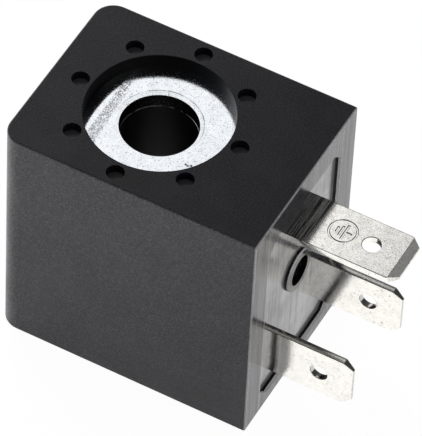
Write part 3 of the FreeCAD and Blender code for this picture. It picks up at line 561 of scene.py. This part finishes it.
# Bright zinc is a bluish white mirror with a soft mottle, small grains that break up what it
# mirrors, and dark specks. Grains and specks are under 0.05 mm on a real plate, so they are
# drawn about three times as coarse.
ZINC = linear("#eef1f4")
ZINC_DULL = linear("#c3c6c9")
ZINC_SPECK = linear("#6f6f70")
SHEARED_STEEL = linear("#8a8a8a")
MOTTLE = 0.9
SPECKLE = 0.13
GRAIN_PITCH = 0.16
GRAIN_ROUGHNESS = 0.4
ZINC_RELIEF = 0.005
# The scuffed band lies between the bend and a ragged line that runs slightly askew.
BEND_LINE_START, BEND_LINE_END = -5.98, -5.90
SCUFF_FADES, SCUFF_END = -4.65, -4.15
SCUFF_SLANT = -0.07
SCUFF_RAGGED = 0.8
# The punch left a ring, darkened on the far side only as painted shade, and three nicks lie by the
# recess's near wall.
RING_RADIUS = 4.62
RING_WIDTH = 0.10
RING_FADES_IN, RING_FULL = -1.0, 3.0
NICKS = ((4.97, -3.45, 13.08), (5.24, -3.52, 13.08), (5.55, -3.34, 13.08))
NICK_RADIUS = 0.16
NICK_SHARE = 0.95
# The bore's wall is sheared dull. Its upper rim and a broken burr at its foot catch the light
# from above, so their normals lean upwards. The burr also keeps the pale zinc tone, a painted glint.
BORE_EDGE = 4.44
RIM_START = 12.8
BURR_HEIGHT = 11.15
BURR_HALF_WIDTH = 0.05
RIM_LEAN = 0.95


def distance_from_axis(tree, place, kept):
    """Distance from an axis through the origin: the length of the place with its part along
    that axis left out, where kept has a 0 for that part and a 1 for each of the others."""
    beside = add_node(tree, "ShaderNodeVectorMath", {0: place, 1: kept}, operation="MULTIPLY")
    length = add_node(tree, "ShaderNodeVectorMath", {0: beside}, operation="LENGTH")
    return length.outputs["Value"]


zinc_plate, tree, shader, place = start_material("bright_zinc_plate_on_strip_steel")
shader.inputs["Metallic"].default_value = 1.0
mottle = add_node(tree, "ShaderNodeTexNoise", {
    "Vector": place, "Scale": 1 / MOTTLE, "Detail": 5.0, "Roughness": 0.65})
speckle = add_node(tree, "ShaderNodeTexNoise", {
    "Vector": place, "Scale": 1 / SPECKLE, "Detail": 2.0, "Roughness": 0.6})
spot = add_node(tree, "ShaderNodeSeparateXYZ", {0: place})
slant = add_node(tree, "ShaderNodeMath", {
    0: spot.outputs["Y"], 1: -SCUFF_SLANT, 2: spot.outputs["X"]}, operation="MULTIPLY_ADD")
ragged = add_node(tree, "ShaderNodeMath", {
    0: speckle, 1: SCUFF_RAGGED, 2: slant}, operation="MULTIPLY_ADD")
scuff_fades = add_node(tree, "ShaderNodeMapRange", {
    "Value": ragged, "From Min": SCUFF_FADES, "From Max": SCUFF_END,
    "To Min": 1.0, "To Max": 0.0})
past_bend = add_node(tree, "ShaderNodeMapRange", {
    "Value": spot.outputs["X"], "From Min": BEND_LINE_START, "From Max": BEND_LINE_END})
scuffed = add_node(tree, "ShaderNodeMath", {0: scuff_fades, 1: past_bend}, operation="MULTIPLY")
threshold = add_node(tree, "ShaderNodeMapRange", {"Value": scuffed, "To Min": 0.615, "To Max": 0.44})
over = add_node(tree, "ShaderNodeMath", {0: speckle, 1: threshold}, operation="SUBTRACT")
specks = add_node(tree, "ShaderNodeMapRange", {"Value": over, "From Max": 0.10, "To Max": 0.45})
from_axis = distance_from_axis(tree, place, (1, 1, 0))
off_ring = add_node(tree, "ShaderNodeMath", {
    0: from_axis, 1: RING_RADIUS, 2: RING_WIDTH / 2}, operation="COMPARE")
broken_ring = add_node(tree, "ShaderNodeMapRange", {
    "Value": mottle, "From Min": 0.40, "From Max": 0.60, "To Min": 0.15, "To Max": 0.55})
# Painted shade: the punch's ring is darkened on the far side only.
far_side_shade_share = add_node(tree, "ShaderNodeMapRange", {
    "Value": spot.outputs["Y"], "From Min": RING_FADES_IN, "From Max": RING_FULL})
ring_seen = add_node(tree, "ShaderNodeMath", {0: off_ring, 1: far_side_shade_share}, operation="MULTIPLY")
punch_ring_and_shade = add_node(tree, "ShaderNodeMath", {0: ring_seen, 1: broken_ring}, operation="MULTIPLY")
marks = add_node(tree, "ShaderNodeMath", {0: specks, 1: punch_ring_and_shade}, operation="MAXIMUM")
for nick in NICKS:
    reach = add_node(tree, "ShaderNodeVectorMath", {0: place, 1: nick}, operation="DISTANCE")
    dent = add_node(tree, "ShaderNodeMapRange", {
        "Value": reach.outputs["Value"], "From Min": NICK_RADIUS * 0.5, "From Max": NICK_RADIUS,
        "To Min": NICK_SHARE, "To Max": 0.0})
    marks = add_node(tree, "ShaderNodeMath", {0: marks, 1: dent}, operation="MAXIMUM")
dulled = add_node(tree, "ShaderNodeMapRange", {
    "Value": mottle, "From Min": 0.42, "From Max": 0.68, "To Max": 0.3})
zinc_tone = add_node(tree, "ShaderNodeMix", {"Factor": dulled, 6: ZINC, 7: ZINC_DULL}, data_type="RGBA")
marked_tone = add_node(tree, "ShaderNodeMix", {
    "Factor": marks, 6: zinc_tone.outputs[2], 7: ZINC_SPECK}, data_type="RGBA")
sheen = add_node(tree, "ShaderNodeMapRange", {
    "Value": marks, "From Max": 0.5, "To Min": 0.11, "To Max": 0.4})
bore_edge = add_node(tree, "ShaderNodeMath", {0: from_axis, 1: BORE_EDGE}, operation="LESS_THAN")
above_wall = add_node(tree, "ShaderNodeMath", {
    0: spot.outputs["Z"], 1: RIM_START}, operation="GREATER_THAN")
# Painted glint: a broken band at the bore's foot keeps the pale zinc tone on the dull wall.
burr_low = add_node(tree, "ShaderNodeMath", {
    0: spot.outputs["Z"], 1: BURR_HEIGHT, 2: BURR_HALF_WIDTH}, operation="COMPARE")
burr_broken = add_node(tree, "ShaderNodeMapRange", {
    "Value": mottle, "From Min": 0.46, "From Max": 0.50})
burr_glint = add_node(tree, "ShaderNodeMath", {0: burr_low, 1: burr_broken}, operation="MULTIPLY")
rim_or_burr = add_node(tree, "ShaderNodeMath", {0: above_wall, 1: burr_glint}, operation="MAXIMUM")
bright_rim_and_burr = add_node(tree, "ShaderNodeMath", {0: bore_edge, 1: rim_or_burr}, operation="MULTIPLY")
sheared = add_node(tree, "ShaderNodeMath", {0: bore_edge, 1: bright_rim_and_burr}, operation="SUBTRACT")
zinc_shown = add_node(tree, "ShaderNodeMix", {
    "Factor": sheared, 6: marked_tone.outputs[2], 7: SHEARED_STEEL}, data_type="RGBA")
tree.links.new(zinc_shown.outputs[2], shader.inputs["Base Color"])
grains = add_node(tree, "ShaderNodeTexNoise", {
    "Vector": place, "Scale": 1 / GRAIN_PITCH, "Detail": 1.0, "Roughness": 0.5})
grain_share = add_node(tree, "ShaderNodeMapRange", {
    "Value": grains, "From Min": 0.60, "From Max": 0.74})
grainy = add_node(tree, "ShaderNodeMix", {
    0: grain_share, 2: sheen, 3: GRAIN_ROUGHNESS}, data_type="FLOAT")
tree.links.new(grainy.outputs[0], shader.inputs["Roughness"])
shape = add_node(tree, "ShaderNodeNewGeometry")
rim_share = add_node(tree, "ShaderNodeMath", {0: bright_rim_and_burr, 1: RIM_LEAN}, operation="MULTIPLY")
softened = add_node(tree, "ShaderNodeMix", {
    0: rim_share, 4: shape.outputs["Normal"], 5: (0, 0, 1)}, data_type="VECTOR")
hammered = add_node(tree, "ShaderNodeMath", {0: speckle, 1: marks}, operation="SUBTRACT")
zinc_bump = add_node(tree, "ShaderNodeBump", {
    "Height": hammered, "Strength": 1.0, "Distance": ZINC_RELIEF * MM,
    "Normal": softened.outputs[1]})
tree.links.new(zinc_bump.outputs[0], shader.inputs["Normal"])
finish_nodes(["yoke"], zinc_plate)


# Earth rivet and fixing nut: turned steel with a duller zinc plate, both moulded in.
# The plate is an even, slightly satin grey with soft worn patches.
WORN_PATCH = 0.4
small_zinc = patchy_metal(
    "satin_zinc_plate_on_turned_steel", WORN_PATCH, "#a9abae", "#cdd0d3", 0.25, 0.4)
finish_nodes(["earth_rivet", "fixing_nut"], small_zinc)


# Earth terminal: a longer tab of the same tinned brass, cranked up to the yoke and riveted to it.
# The protective earth sign is struck into its upper face: a ring round three bars and a stem.
FOOT_END = 9.2
FOOT_RUN = 4.1
FOOT_LEVEL = 10.68
BEND_RADIUS = 0.9
RISER_RUN = 0.48
BEND_RUN = np.pi / 2 * BEND_RADIUS
SECOND_BEND = FOOT_RUN + BEND_RUN + RISER_RUN
CRANKED_RUN = SECOND_BEND + BEND_RUN
BLADE_START = FOOT_END + FOOT_RUN + 2 * BEND_RADIUS


def crank(flat):
    """Flat strip bent down and out again: its middle runs straight, round a quarter circle,
    straight down, round a second quarter circle and straight on, and each point keeps its
    height off the middle."""
    along, across, height = flat.T
    first = np.clip((along - FOOT_RUN) / BEND_RADIUS, 0, np.pi / 2)
    down = np.clip(along - FOOT_RUN - BEND_RUN, 0, RISER_RUN)
    second = np.clip((along - SECOND_BEND) / BEND_RADIUS, 0, np.pi / 2)
    out = np.clip(along, 0, FOOT_RUN) + np.maximum(along - CRANKED_RUN, 0)
    middle_x = FOOT_END + out + BEND_RADIUS * (np.sin(first) + 1 - np.cos(second))
    middle_z = FOOT_LEVEL - down - BEND_RADIUS * (1 - np.cos(first) + np.sin(second))
    turned = first - second
    return np.stack([
        middle_x + height * np.sin(turned), across, middle_z + height * np.cos(turned)], axis=1)


# The foot and riser are narrower than the blade, and the outline has extra points round the bends.
BEND_STEPS = 7
FOOT_HALF = 2.4
EARTH_ROOT = 15.8
EARTH_HOLE = 24.82
RIVET_HOLE = 11.0
RIVET_HOLE_RADIUS = 1.0
blade_shift = BLADE_START - CRANKED_RUN
bend_steps = np.linspace(0, BEND_RUN, BEND_STEPS)
bend_folds = np.concatenate([bend_steps + FOOT_RUN, bend_steps + SECOND_BEND])
blade_half = np.array([(EARTH_ROOT, -FOOT_HALF), (EARTH_ROOT, -BLADE_HALF), *cut_tip(EARTH_TIP)])
earth_half = np.concatenate([
    [(0, -FOOT_HALF)],
    np.stack([bend_folds, 0 * bend_folds - FOOT_HALF], axis=1),
    blade_half - (blade_shift, 0)])
earth_outline = np.concatenate([earth_half, earth_half[::-1] * (1, -1)])

# The sign's bars lie across the blade, and the longest carries the stem. Every stroke has
# sloping sides, so it has one line at its edge on the face and one at its bottom.
SIGN_PLACE = (21.46, 0.1)
SIGN_DEPTH = 0.09
STROKE = 0.28
STROKE_SLOPE = 0.07
SIGN_RADIUS = 1.62
RING_SIDES = 64
SHORT_BARS = ((-0.64, 0.40), (-0.21, 0.70))
LONG_BAR, LONG_HALF, STEM_END = 0.22, 1.05, 1.0
half = STROKE / 2
strokes = [
    np.array([(bar - half, -reach), (bar + half, -reach), (bar + half, reach), (bar - half, reach)])
    for bar, reach in SHORT_BARS]
strokes.append(np.array([
    (LONG_BAR - half, -LONG_HALF), (LONG_BAR + half, -LONG_HALF), (LONG_BAR + half, -half),
    (STEM_END, -half), (STEM_END, half), (LONG_BAR + half, half), (LONG_BAR + half, LONG_HALF),
    (LONG_BAR - half, LONG_HALF)]))
sign_lines = [(stroke, 0) for stroke in strokes]
sign_lines += [(inset(stroke, STROKE_SLOPE), SIGN_DEPTH) for stroke in strokes]
for radius, depth in (
    (SIGN_RADIUS, 0), (SIGN_RADIUS - STROKE_SLOPE, SIGN_DEPTH),
    (SIGN_RADIUS - STROKE + STROKE_SLOPE, SIGN_DEPTH), (SIGN_RADIUS - STROKE, 0),
):
    sign_lines.append((circle(0, 0, radius, RING_SIDES), depth))
sign_lines = [(line + SIGN_PLACE - (blade_shift, 0), depth) for line, depth in sign_lines]
earth_tab = stamped_tab(
    "earth_stamped_tab", earth_outline,
    [circle(EARTH_HOLE - blade_shift, 0, BLADE_HOLE_RADIUS),
     circle(RIVET_HOLE - FOOT_END, 0, RIVET_HOLE_RADIUS)],
    bend_folds, sign_lines, crank)
earth_tab.data.materials.append(tin_plate)
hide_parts("earth_terminal")


# Housing: glass-filled nylon injection moulded round the finished coil in a spark-eroded tool.
# The tool leaves a fine matt grain, the melt leaves faint level flow marks and fibre specks.

# The skin is matt black with a soft grain, which mirrors less than smooth nylon does, so its
# IOR is set lower. Grain and glass fibres are 0.02 to 0.05 mm across, so both are drawn
# several times as coarse, the fibres as faint grey flecks. Flow marks are long and low.
# Flecks and gloss grow towards the upper back; there the flecks are painted light.
NYLON_BLACK = linear("#07060d")
NYLON_FLOW = linear("#191725")
FIBRE_GREY = linear("#b4b1b9")
NYLON_IOR = 1.31
GRAIN = 0.12
NYLON_RELIEF = 0.02
FLOW_LENGTH = 9.0
FLOW_HEIGHT = 1.1
CLOUD = 5.0
FIBRE_PITCH = 0.17
UPPER_BACK_SLOPE = -0.6
COAT_ROUGHNESS = 0.10
# The connector face is smoother and greyer, with upright lines drawn by the polished tool.
FACE_GREY = linear("#434245")
FACE_START = 16.4
FACE_FLOOR_END = 16.7
DRAW_LENGTH = 14.0
DRAW_PITCH = 0.55
# Its recess and boss have walls painted black at the foot, as painted shade, and white above, as
# a painted highlight on round edges; a painted highlight also runs along the recess's upright edges.
RECESS_HALF_WIDTH = 9.0
RECESS_HALF_HEIGHT = 14.0
HOLE_CLEAR = 2.2
WALL_MIDDLE = 16.77
WALL_PAINTED_HIGHLIGHT = linear("#ffffff")
WALL_LEAN = 0.4
RECESS_SHADE_BLACK = linear("#040405")
RECESS_EDGE = 7.95
RECESS_EDGE_WIDTH = 0.09
# The face's outer edges are painted light grey, a painted highlight, and lean to the front. The small
# rounds at the body's two ends are shaded with the sides, because the real ones are too small to be seen.
EDGE_HIGHLIGHT_GREY = linear("#f0efef")
EDGE_ROUGHNESS = 0.42
FRONT_EDGE = 16.95
SIDE_EDGE = 10.79
END_EDGE = 14.59
ROUND_START, ROUND_END = 16.92, 16.95
ROUND_LEAN = 0.8
END_ROUND_START = 14.58
END_TILT_KEPT = 0.05
# The walls round the bore are painted a deeper black than the body, as painted shade, and have no gloss.
# The pin holes' floors are painted grey, as painted light.
END_RECESS_REACH = 7.97
PIN_FLOOR = 13.75
PIN_FLOOR_MARGIN = 0.02
PIN_FLOOR_PAINTED_LIGHT = linear("#8e8c8e")
PIN_CIRCLE_END = 10.4
# A face counts as turned along an axis when its normal goes further along it than this, and
# as a wall when its normal goes less far to the front than that of any sloping edge.
TURNED_TO_FRONT = 0.3
TURNED_UPWARDS = 0.99
TURNED_SQUARELY = 0.9999
WALL_TO_FRONT = 0.5
nylon, tree, shader, place = start_material("black_glass_filled_nylon_moulded")
shader.inputs["IOR"].default_value = NYLON_IOR

# Where a point lies on the moulding, and which way it faces.
spot = add_node(tree, "ShaderNodeSeparateXYZ", {0: place})
across = add_node(tree, "ShaderNodeMath", {0: spot.outputs["Y"]}, operation="ABSOLUTE")
height = add_node(tree, "ShaderNodeMath", {0: spot.outputs["Z"]}, operation="ABSOLUTE")
from_axis = distance_from_axis(tree, place, (1, 1, 0))
shape, facing_axes = face_turn(tree)
within_width = add_node(tree, "ShaderNodeMath", {
    0: across, 1: RECESS_HALF_WIDTH}, operation="LESS_THAN")
within_height = add_node(tree, "ShaderNodeMath", {
    0: height, 1: RECESS_HALF_HEIGHT}, operation="LESS_THAN")
within = add_node(tree, "ShaderNodeMath", {0: within_width, 1: within_height}, operation="MULTIPLY")
facing_front = add_node(tree, "ShaderNodeMath", {
    0: facing_axes.outputs["X"], 1: TURNED_TO_FRONT}, operation="GREATER_THAN")
front_part = add_node(tree, "ShaderNodeMath", {
    0: spot.outputs["X"], 1: FACE_START}, operation="GREATER_THAN")
front_or_within = add_node(tree, "ShaderNodeMath", {0: facing_front, 1: within}, operation="MAXIMUM")
on_face = add_node(tree, "ShaderNodeMath", {0: front_part, 1: front_or_within}, operation="MULTIPLY")
near_axis = add_node(tree, "ShaderNodeMath", {0: from_axis, 1: END_RECESS_REACH}, operation="LESS_THAN")
level_part = add_node(tree, "ShaderNodeMath", {
    0: facing_axes.outputs["Z"], 1: TURNED_UPWARDS}, operation="GREATER_THAN")
upright_wall = add_node(tree, "ShaderNodeMath", {
    0: facing_axes.outputs["X"], 1: WALL_TO_FRONT}, operation="LESS_THAN")
from_screw = distance_from_axis(tree, place, (0, 1, 1))
past_hole = add_node(tree, "ShaderNodeMath", {0: from_screw, 1: HOLE_CLEAR}, operation="GREATER_THAN")
front_wall = add_node(tree, "ShaderNodeMath", {0: upright_wall, 1: on_face}, operation="MULTIPLY")
recess_wall = add_node(tree, "ShaderNodeMath", {0: front_wall, 1: within}, operation="MULTIPLY")
above_middle = add_node(tree, "ShaderNodeMath", {
    0: spot.outputs["X"], 1: WALL_MIDDLE}, operation="GREATER_THAN")
outer_wall = add_node(tree, "ShaderNodeMath", {0: recess_wall, 1: past_hole}, operation="MULTIPLY")
wall_top = add_node(tree, "ShaderNodeMath", {0: outer_wall, 1: above_middle}, operation="MULTIPLY")
tooled = add_node(tree, "ShaderNodeMath", {0: on_face, 1: near_axis}, operation="MAXIMUM")

# Patterns of the skin, each at its own pitch.
stretch = add_node(tree, "ShaderNodeMapping", {
    "Vector": place, "Scale": (1 / FLOW_LENGTH, 1 / FLOW_LENGTH, 1 / FLOW_HEIGHT)})
flow = add_node(tree, "ShaderNodeTexNoise", {
    "Vector": stretch, "Scale": 1.0, "Detail": 3.0, "Roughness": 0.55})
drawn = add_node(tree, "ShaderNodeMapping", {
    "Vector": place, "Scale": (1 / DRAW_LENGTH, 1 / DRAW_PITCH, 1 / DRAW_LENGTH)})
draw_marks = add_node(tree, "ShaderNodeTexNoise", {
    "Vector": drawn, "Scale": 1.0, "Detail": 4.0, "Roughness": 0.65})
clouds = add_node(tree, "ShaderNodeTexNoise", {
    "Vector": place, "Scale": 1 / CLOUD, "Detail": 4.0, "Roughness": 0.6})
fibres = add_node(tree, "ShaderNodeTexNoise", {
    "Vector": place, "Scale": 1 / FIBRE_PITCH, "Detail": 2.0, "Roughness": 0.7})
grain = add_node(tree, "ShaderNodeTexNoise", {
    "Vector": place, "Scale": 1 / GRAIN, "Detail": 2.0, "Roughness": 0.6})

# Colour: flow marks and flecks with painted light, then the connector face, hole floors with painted
# light, walls with painted shade and highlight, and edges with a painted highlight.
fibre_mask = add_node(tree, "ShaderNodeMapRange", {
    "Value": fibres, "From Min": 0.45, "From Max": 0.72, "To Max": 0.60})
# Painted light: grey flecks grow towards the upper back, so the body is painted paler high up and towards
# the back.
toward_upper_back = add_node(tree, "ShaderNodeMath", {
    0: spot.outputs["X"], 1: UPPER_BACK_SLOPE, 2: spot.outputs["Z"]}, operation="MULTIPLY_ADD")
painted_light_share = add_node(tree, "ShaderNodeMapRange", {
    "Value": toward_upper_back, "From Min": -20.0, "From Max": 10.0, "To Min": 0.1, "To Max": 0.75})
# Painted light: the flecks are fainter on the top and bottom faces, so the sides are painted paler than
# the top.
past_pins = add_node(tree, "ShaderNodeMath", {
    0: from_axis, 1: PIN_CIRCLE_END}, operation="GREATER_THAN")
outer_side = add_node(tree, "ShaderNodeMath", {0: past_pins, 1: level_part}, operation="SUBTRACT")
paler_sides_share = add_node(tree, "ShaderNodeMapRange", {"Value": outer_side, "To Min": 0.15, "To Max": 1.0})
fibre_seen = add_node(tree, "ShaderNodeMath", {0: fibre_mask, 1: paler_sides_share}, operation="MULTIPLY")
flecks_with_painted_light = add_node(tree, "ShaderNodeMath", {0: fibre_seen, 1: painted_light_share}, operation="MULTIPLY")
flow_share = add_node(tree, "ShaderNodeMapRange", {"Value": flow, "From Min": 0.32, "From Max": 0.68})
flow_tone = add_node(tree, "ShaderNodeMix", {
    "Factor": flow_share, 6: NYLON_BLACK, 7: NYLON_FLOW}, data_type="RGBA")
body_tone = add_node(tree, "ShaderNodeMix", {
    "Factor": flecks_with_painted_light, 6: flow_tone.outputs[2], 7: FIBRE_GREY}, data_type="RGBA")
face_share = add_node(tree, "ShaderNodeMapRange", {
    "Value": draw_marks, "From Min": 0.35, "From Max": 0.65})
face_greyed = add_node(tree, "ShaderNodeMath", {0: face_share, 1: on_face}, operation="MULTIPLY")
face_tone = add_node(tree, "ShaderNodeMix", {
    "Factor": face_greyed, 6: body_tone.outputs[2], 7: FACE_GREY}, data_type="RGBA")
# Painted light: the pin holes' floors are painted grey, as if lit.
pin_depth = add_node(tree, "ShaderNodeMath", {
    0: height, 1: PIN_FLOOR, 2: PIN_FLOOR_MARGIN}, operation="COMPARE")
lit_pin_floor = add_node(tree, "ShaderNodeMath", {0: pin_depth, 1: level_part}, operation="MULTIPLY")
pin_tone = add_node(tree, "ShaderNodeMix", {
    "Factor": lit_pin_floor, 6: face_tone.outputs[2], 7: PIN_FLOOR_PAINTED_LIGHT}, data_type="RGBA")
# Painted shade: the walls round the bore are painted a deeper black than the body.
wall_tone = add_node(tree, "ShaderNodeMix", {
    "Factor": near_axis, 6: pin_tone.outputs[2], 7: RECESS_SHADE_BLACK}, data_type="RGBA")
# Painted highlight: the face's outer edges and a line beside the recess's upright edges are painted light
# grey, broken by the fibre noise.
past_front = add_node(tree, "ShaderNodeMath", {
    0: spot.outputs["X"], 1: FRONT_EDGE}, operation="GREATER_THAN")
past_side = add_node(tree, "ShaderNodeMath", {0: across, 1: SIDE_EDGE}, operation="GREATER_THAN")
past_end = add_node(tree, "ShaderNodeMath", {0: height, 1: END_EDGE}, operation="GREATER_THAN")
past_either = add_node(tree, "ShaderNodeMath", {0: past_side, 1: past_end}, operation="MAXIMUM")
by_recess = add_node(tree, "ShaderNodeMath", {
    0: across, 1: RECESS_EDGE, 2: RECESS_EDGE_WIDTH / 2}, operation="COMPARE")
beside_recess = add_node(tree, "ShaderNodeMath", {0: by_recess, 1: within}, operation="MULTIPLY")
any_edge = add_node(tree, "ShaderNodeMath", {0: past_either, 1: beside_recess}, operation="MAXIMUM")
highlit_edges = add_node(tree, "ShaderNodeMath", {0: any_edge, 1: past_front}, operation="MULTIPLY")
edge_highlight_share = add_node(tree, "ShaderNodeMapRange", {
    "Value": fibres, "From Min": 0.3, "From Max": 0.7, "To Min": 0.5, "To Max": 1.0})
painted_edge_highlight = add_node(tree, "ShaderNodeMath", {0: highlit_edges, 1: edge_highlight_share}, operation="MULTIPLY")
nylon_tone = add_node(tree, "ShaderNodeMix", {
    "Factor": painted_edge_highlight, 6: wall_tone.outputs[2], 7: EDGE_HIGHLIGHT_GREY}, data_type="RGBA")
# Painted shade on the recess walls, then a painted highlight on their upper part.
walled_tone = add_node(tree, "ShaderNodeMix", {
    "Factor": recess_wall, 6: nylon_tone.outputs[2], 7: RECESS_SHADE_BLACK}, data_type="RGBA")
topped_tone = add_node(tree, "ShaderNodeMix", {
    "Factor": wall_top, 6: walled_tone.outputs[2], 7: WALL_PAINTED_HIGHLIGHT}, data_type="RGBA")
tree.links.new(topped_tone.outputs[2], shader.inputs["Base Color"])

# Gloss: matt on the body, smoother on the connector face, none on the walls.
most_side = add_node(tree, "ShaderNodeMath", {
    0: facing_axes.outputs["X"], 1: facing_axes.outputs["Y"]}, operation="MAXIMUM")
most = add_node(tree, "ShaderNodeMath", {
    0: most_side, 1: facing_axes.outputs["Z"]}, operation="MAXIMUM")
flat = add_node(tree, "ShaderNodeMath", {0: most, 1: TURNED_SQUARELY}, operation="GREATER_THAN")
curved = add_node(tree, "ShaderNodeMath", {0: 1.0, 1: flat}, operation="SUBTRACT")
spread = add_node(tree, "ShaderNodeMapRange", {
    "Value": clouds, "From Min": 0.35, "From Max": 0.65, "To Min": 0.34, "To Max": 0.48})
tooled_gloss = add_node(tree, "ShaderNodeMapRange", {
    "Value": draw_marks, "From Min": 0.3, "From Max": 0.7, "To Min": 0.10, "To Max": 0.28})
flat_roughness = add_node(tree, "ShaderNodeMix", {
    0: on_face, 2: spread, 3: tooled_gloss}, data_type="FLOAT")
roughness = add_node(tree, "ShaderNodeMix", {
    0: curved, 2: flat_roughness, 3: EDGE_ROUGHNESS}, data_type="FLOAT")
tree.links.new(roughness.outputs[0], shader.inputs["Roughness"])
upper_back_gloss = add_node(tree, "ShaderNodeMapRange", {
    "Value": toward_upper_back, "From Min": -10.0, "From Max": 22.0, "To Max": 0.19})
resin_rich = add_node(tree, "ShaderNodeMapRange", {
    "Value": fibres, "From Min": 0.38, "From Max": 0.62, "To Max": 0.15})
cloud_gloss = add_node(tree, "ShaderNodeMapRange", {
    "Value": clouds, "From Min": 0.40, "From Max": 0.62, "To Max": 0.14})
large_gloss = add_node(tree, "ShaderNodeMath", {0: upper_back_gloss, 1: cloud_gloss}, operation="ADD")
body_gloss = add_node(tree, "ShaderNodeMath", {0: large_gloss, 1: resin_rich}, operation="ADD")
on_rim = add_node(tree, "ShaderNodeMath", {
    0: spot.outputs["X"], 1: FACE_FLOOR_END}, operation="GREATER_THAN")
smudged = add_node(tree, "ShaderNodeMath", {0: draw_marks, 1: clouds}, operation="ADD")
floor_gloss = add_node(tree, "ShaderNodeMapRange", {
    "Value": smudged, "From Min": 0.8, "From Max": 1.2, "To Min": 0.3, "To Max": 1.0})
rim_gloss = add_node(tree, "ShaderNodeMapRange", {
    "Value": draw_marks, "From Min": 0.38, "From Max": 0.62, "To Max": 0.34})
face_gloss = add_node(tree, "ShaderNodeMix", {
    0: on_rim, 2: floor_gloss, 3: rim_gloss}, data_type="FLOAT")
outside_gloss = add_node(tree, "ShaderNodeMix", {
    0: on_face, 2: body_gloss, 3: face_gloss}, data_type="FLOAT")
any_wall = add_node(tree, "ShaderNodeMath", {0: near_axis, 1: recess_wall}, operation="MAXIMUM")
gloss = add_node(tree, "ShaderNodeMix", {0: any_wall, 2: outside_gloss, 3: 0.0}, data_type="FLOAT")
tree.links.new(gloss.outputs[0], shader.inputs["Coat Weight"])
shader.inputs["Coat Roughness"].default_value = COAT_ROUGHNESS

# Relief and normals: grain, drawn lines, and the leaning edges.
grit_share = add_node(tree, "ShaderNodeMapRange", {"Value": tooled, "To Min": 1.0, "To Max": 0.08})
grit = add_node(tree, "ShaderNodeMath", {0: grain, 1: grit_share}, operation="MULTIPLY")
waves = add_node(tree, "ShaderNodeMath", {0: draw_marks, 1: on_face}, operation="MULTIPLY")
relief = add_node(tree, "ShaderNodeMath", {0: grit, 1: waves}, operation="ADD")
even_normal = add_node(tree, "ShaderNodeMix", {
    0: flat, 4: shape.outputs["Normal"], 5: shape.outputs["True Normal"]}, data_type="VECTOR")
end_round = add_node(tree, "ShaderNodeMath", {0: height, 1: END_ROUND_START}, operation="GREATER_THAN")
end_rounded = add_node(tree, "ShaderNodeMath", {0: end_round, 1: curved}, operation="MULTIPLY")
sideways_normal = add_node(tree, "ShaderNodeVectorMath", {
    0: even_normal.outputs[1], 1: (1, 1, END_TILT_KEPT)}, operation="MULTIPLY")
side_normal = add_node(tree, "ShaderNodeVectorMath", {0: sideways_normal}, operation="NORMALIZE")
crisp_normal = add_node(tree, "ShaderNodeMix", {
    0: end_rounded, 4: even_normal.outputs[1], 5: side_normal}, data_type="VECTOR")
past_round = add_node(tree, "ShaderNodeMapRange", {
    "Value": spot.outputs["X"], "From Min": ROUND_START, "From Max": ROUND_END,
    "To Max": ROUND_LEAN})
off_wall = add_node(tree, "ShaderNodeMath", {0: 1.0, 1: recess_wall}, operation="SUBTRACT")
outer_round = add_node(tree, "ShaderNodeMath", {0: past_round, 1: off_wall}, operation="MULTIPLY")
top_round = add_node(tree, "ShaderNodeMath", {0: wall_top, 1: WALL_LEAN}, operation="MULTIPLY")
front_round = add_node(tree, "ShaderNodeMath", {0: outer_round, 1: top_round}, operation="MAXIMUM")
rounded_normal = add_node(tree, "ShaderNodeMix", {
    0: front_round, 4: crisp_normal.outputs[1], 5: (1, 0, 0)}, data_type="VECTOR")
nylon_bump = add_node(tree, "ShaderNodeBump", {
    "Height": relief, "Strength": 1.0, "Distance": NYLON_RELIEF * MM,
    "Normal": rounded_normal.outputs[1]})
tree.links.new(nylon_bump.outputs[0], shader.inputs["Normal"])
tree.links.new(nylon_bump.outputs[0], shader.inputs["Coat Normal"])
finish_nodes(["housing"], nylon)


# The picture's plain tones.
bpy.context.scene.view_settings.view_transform = "Standard"
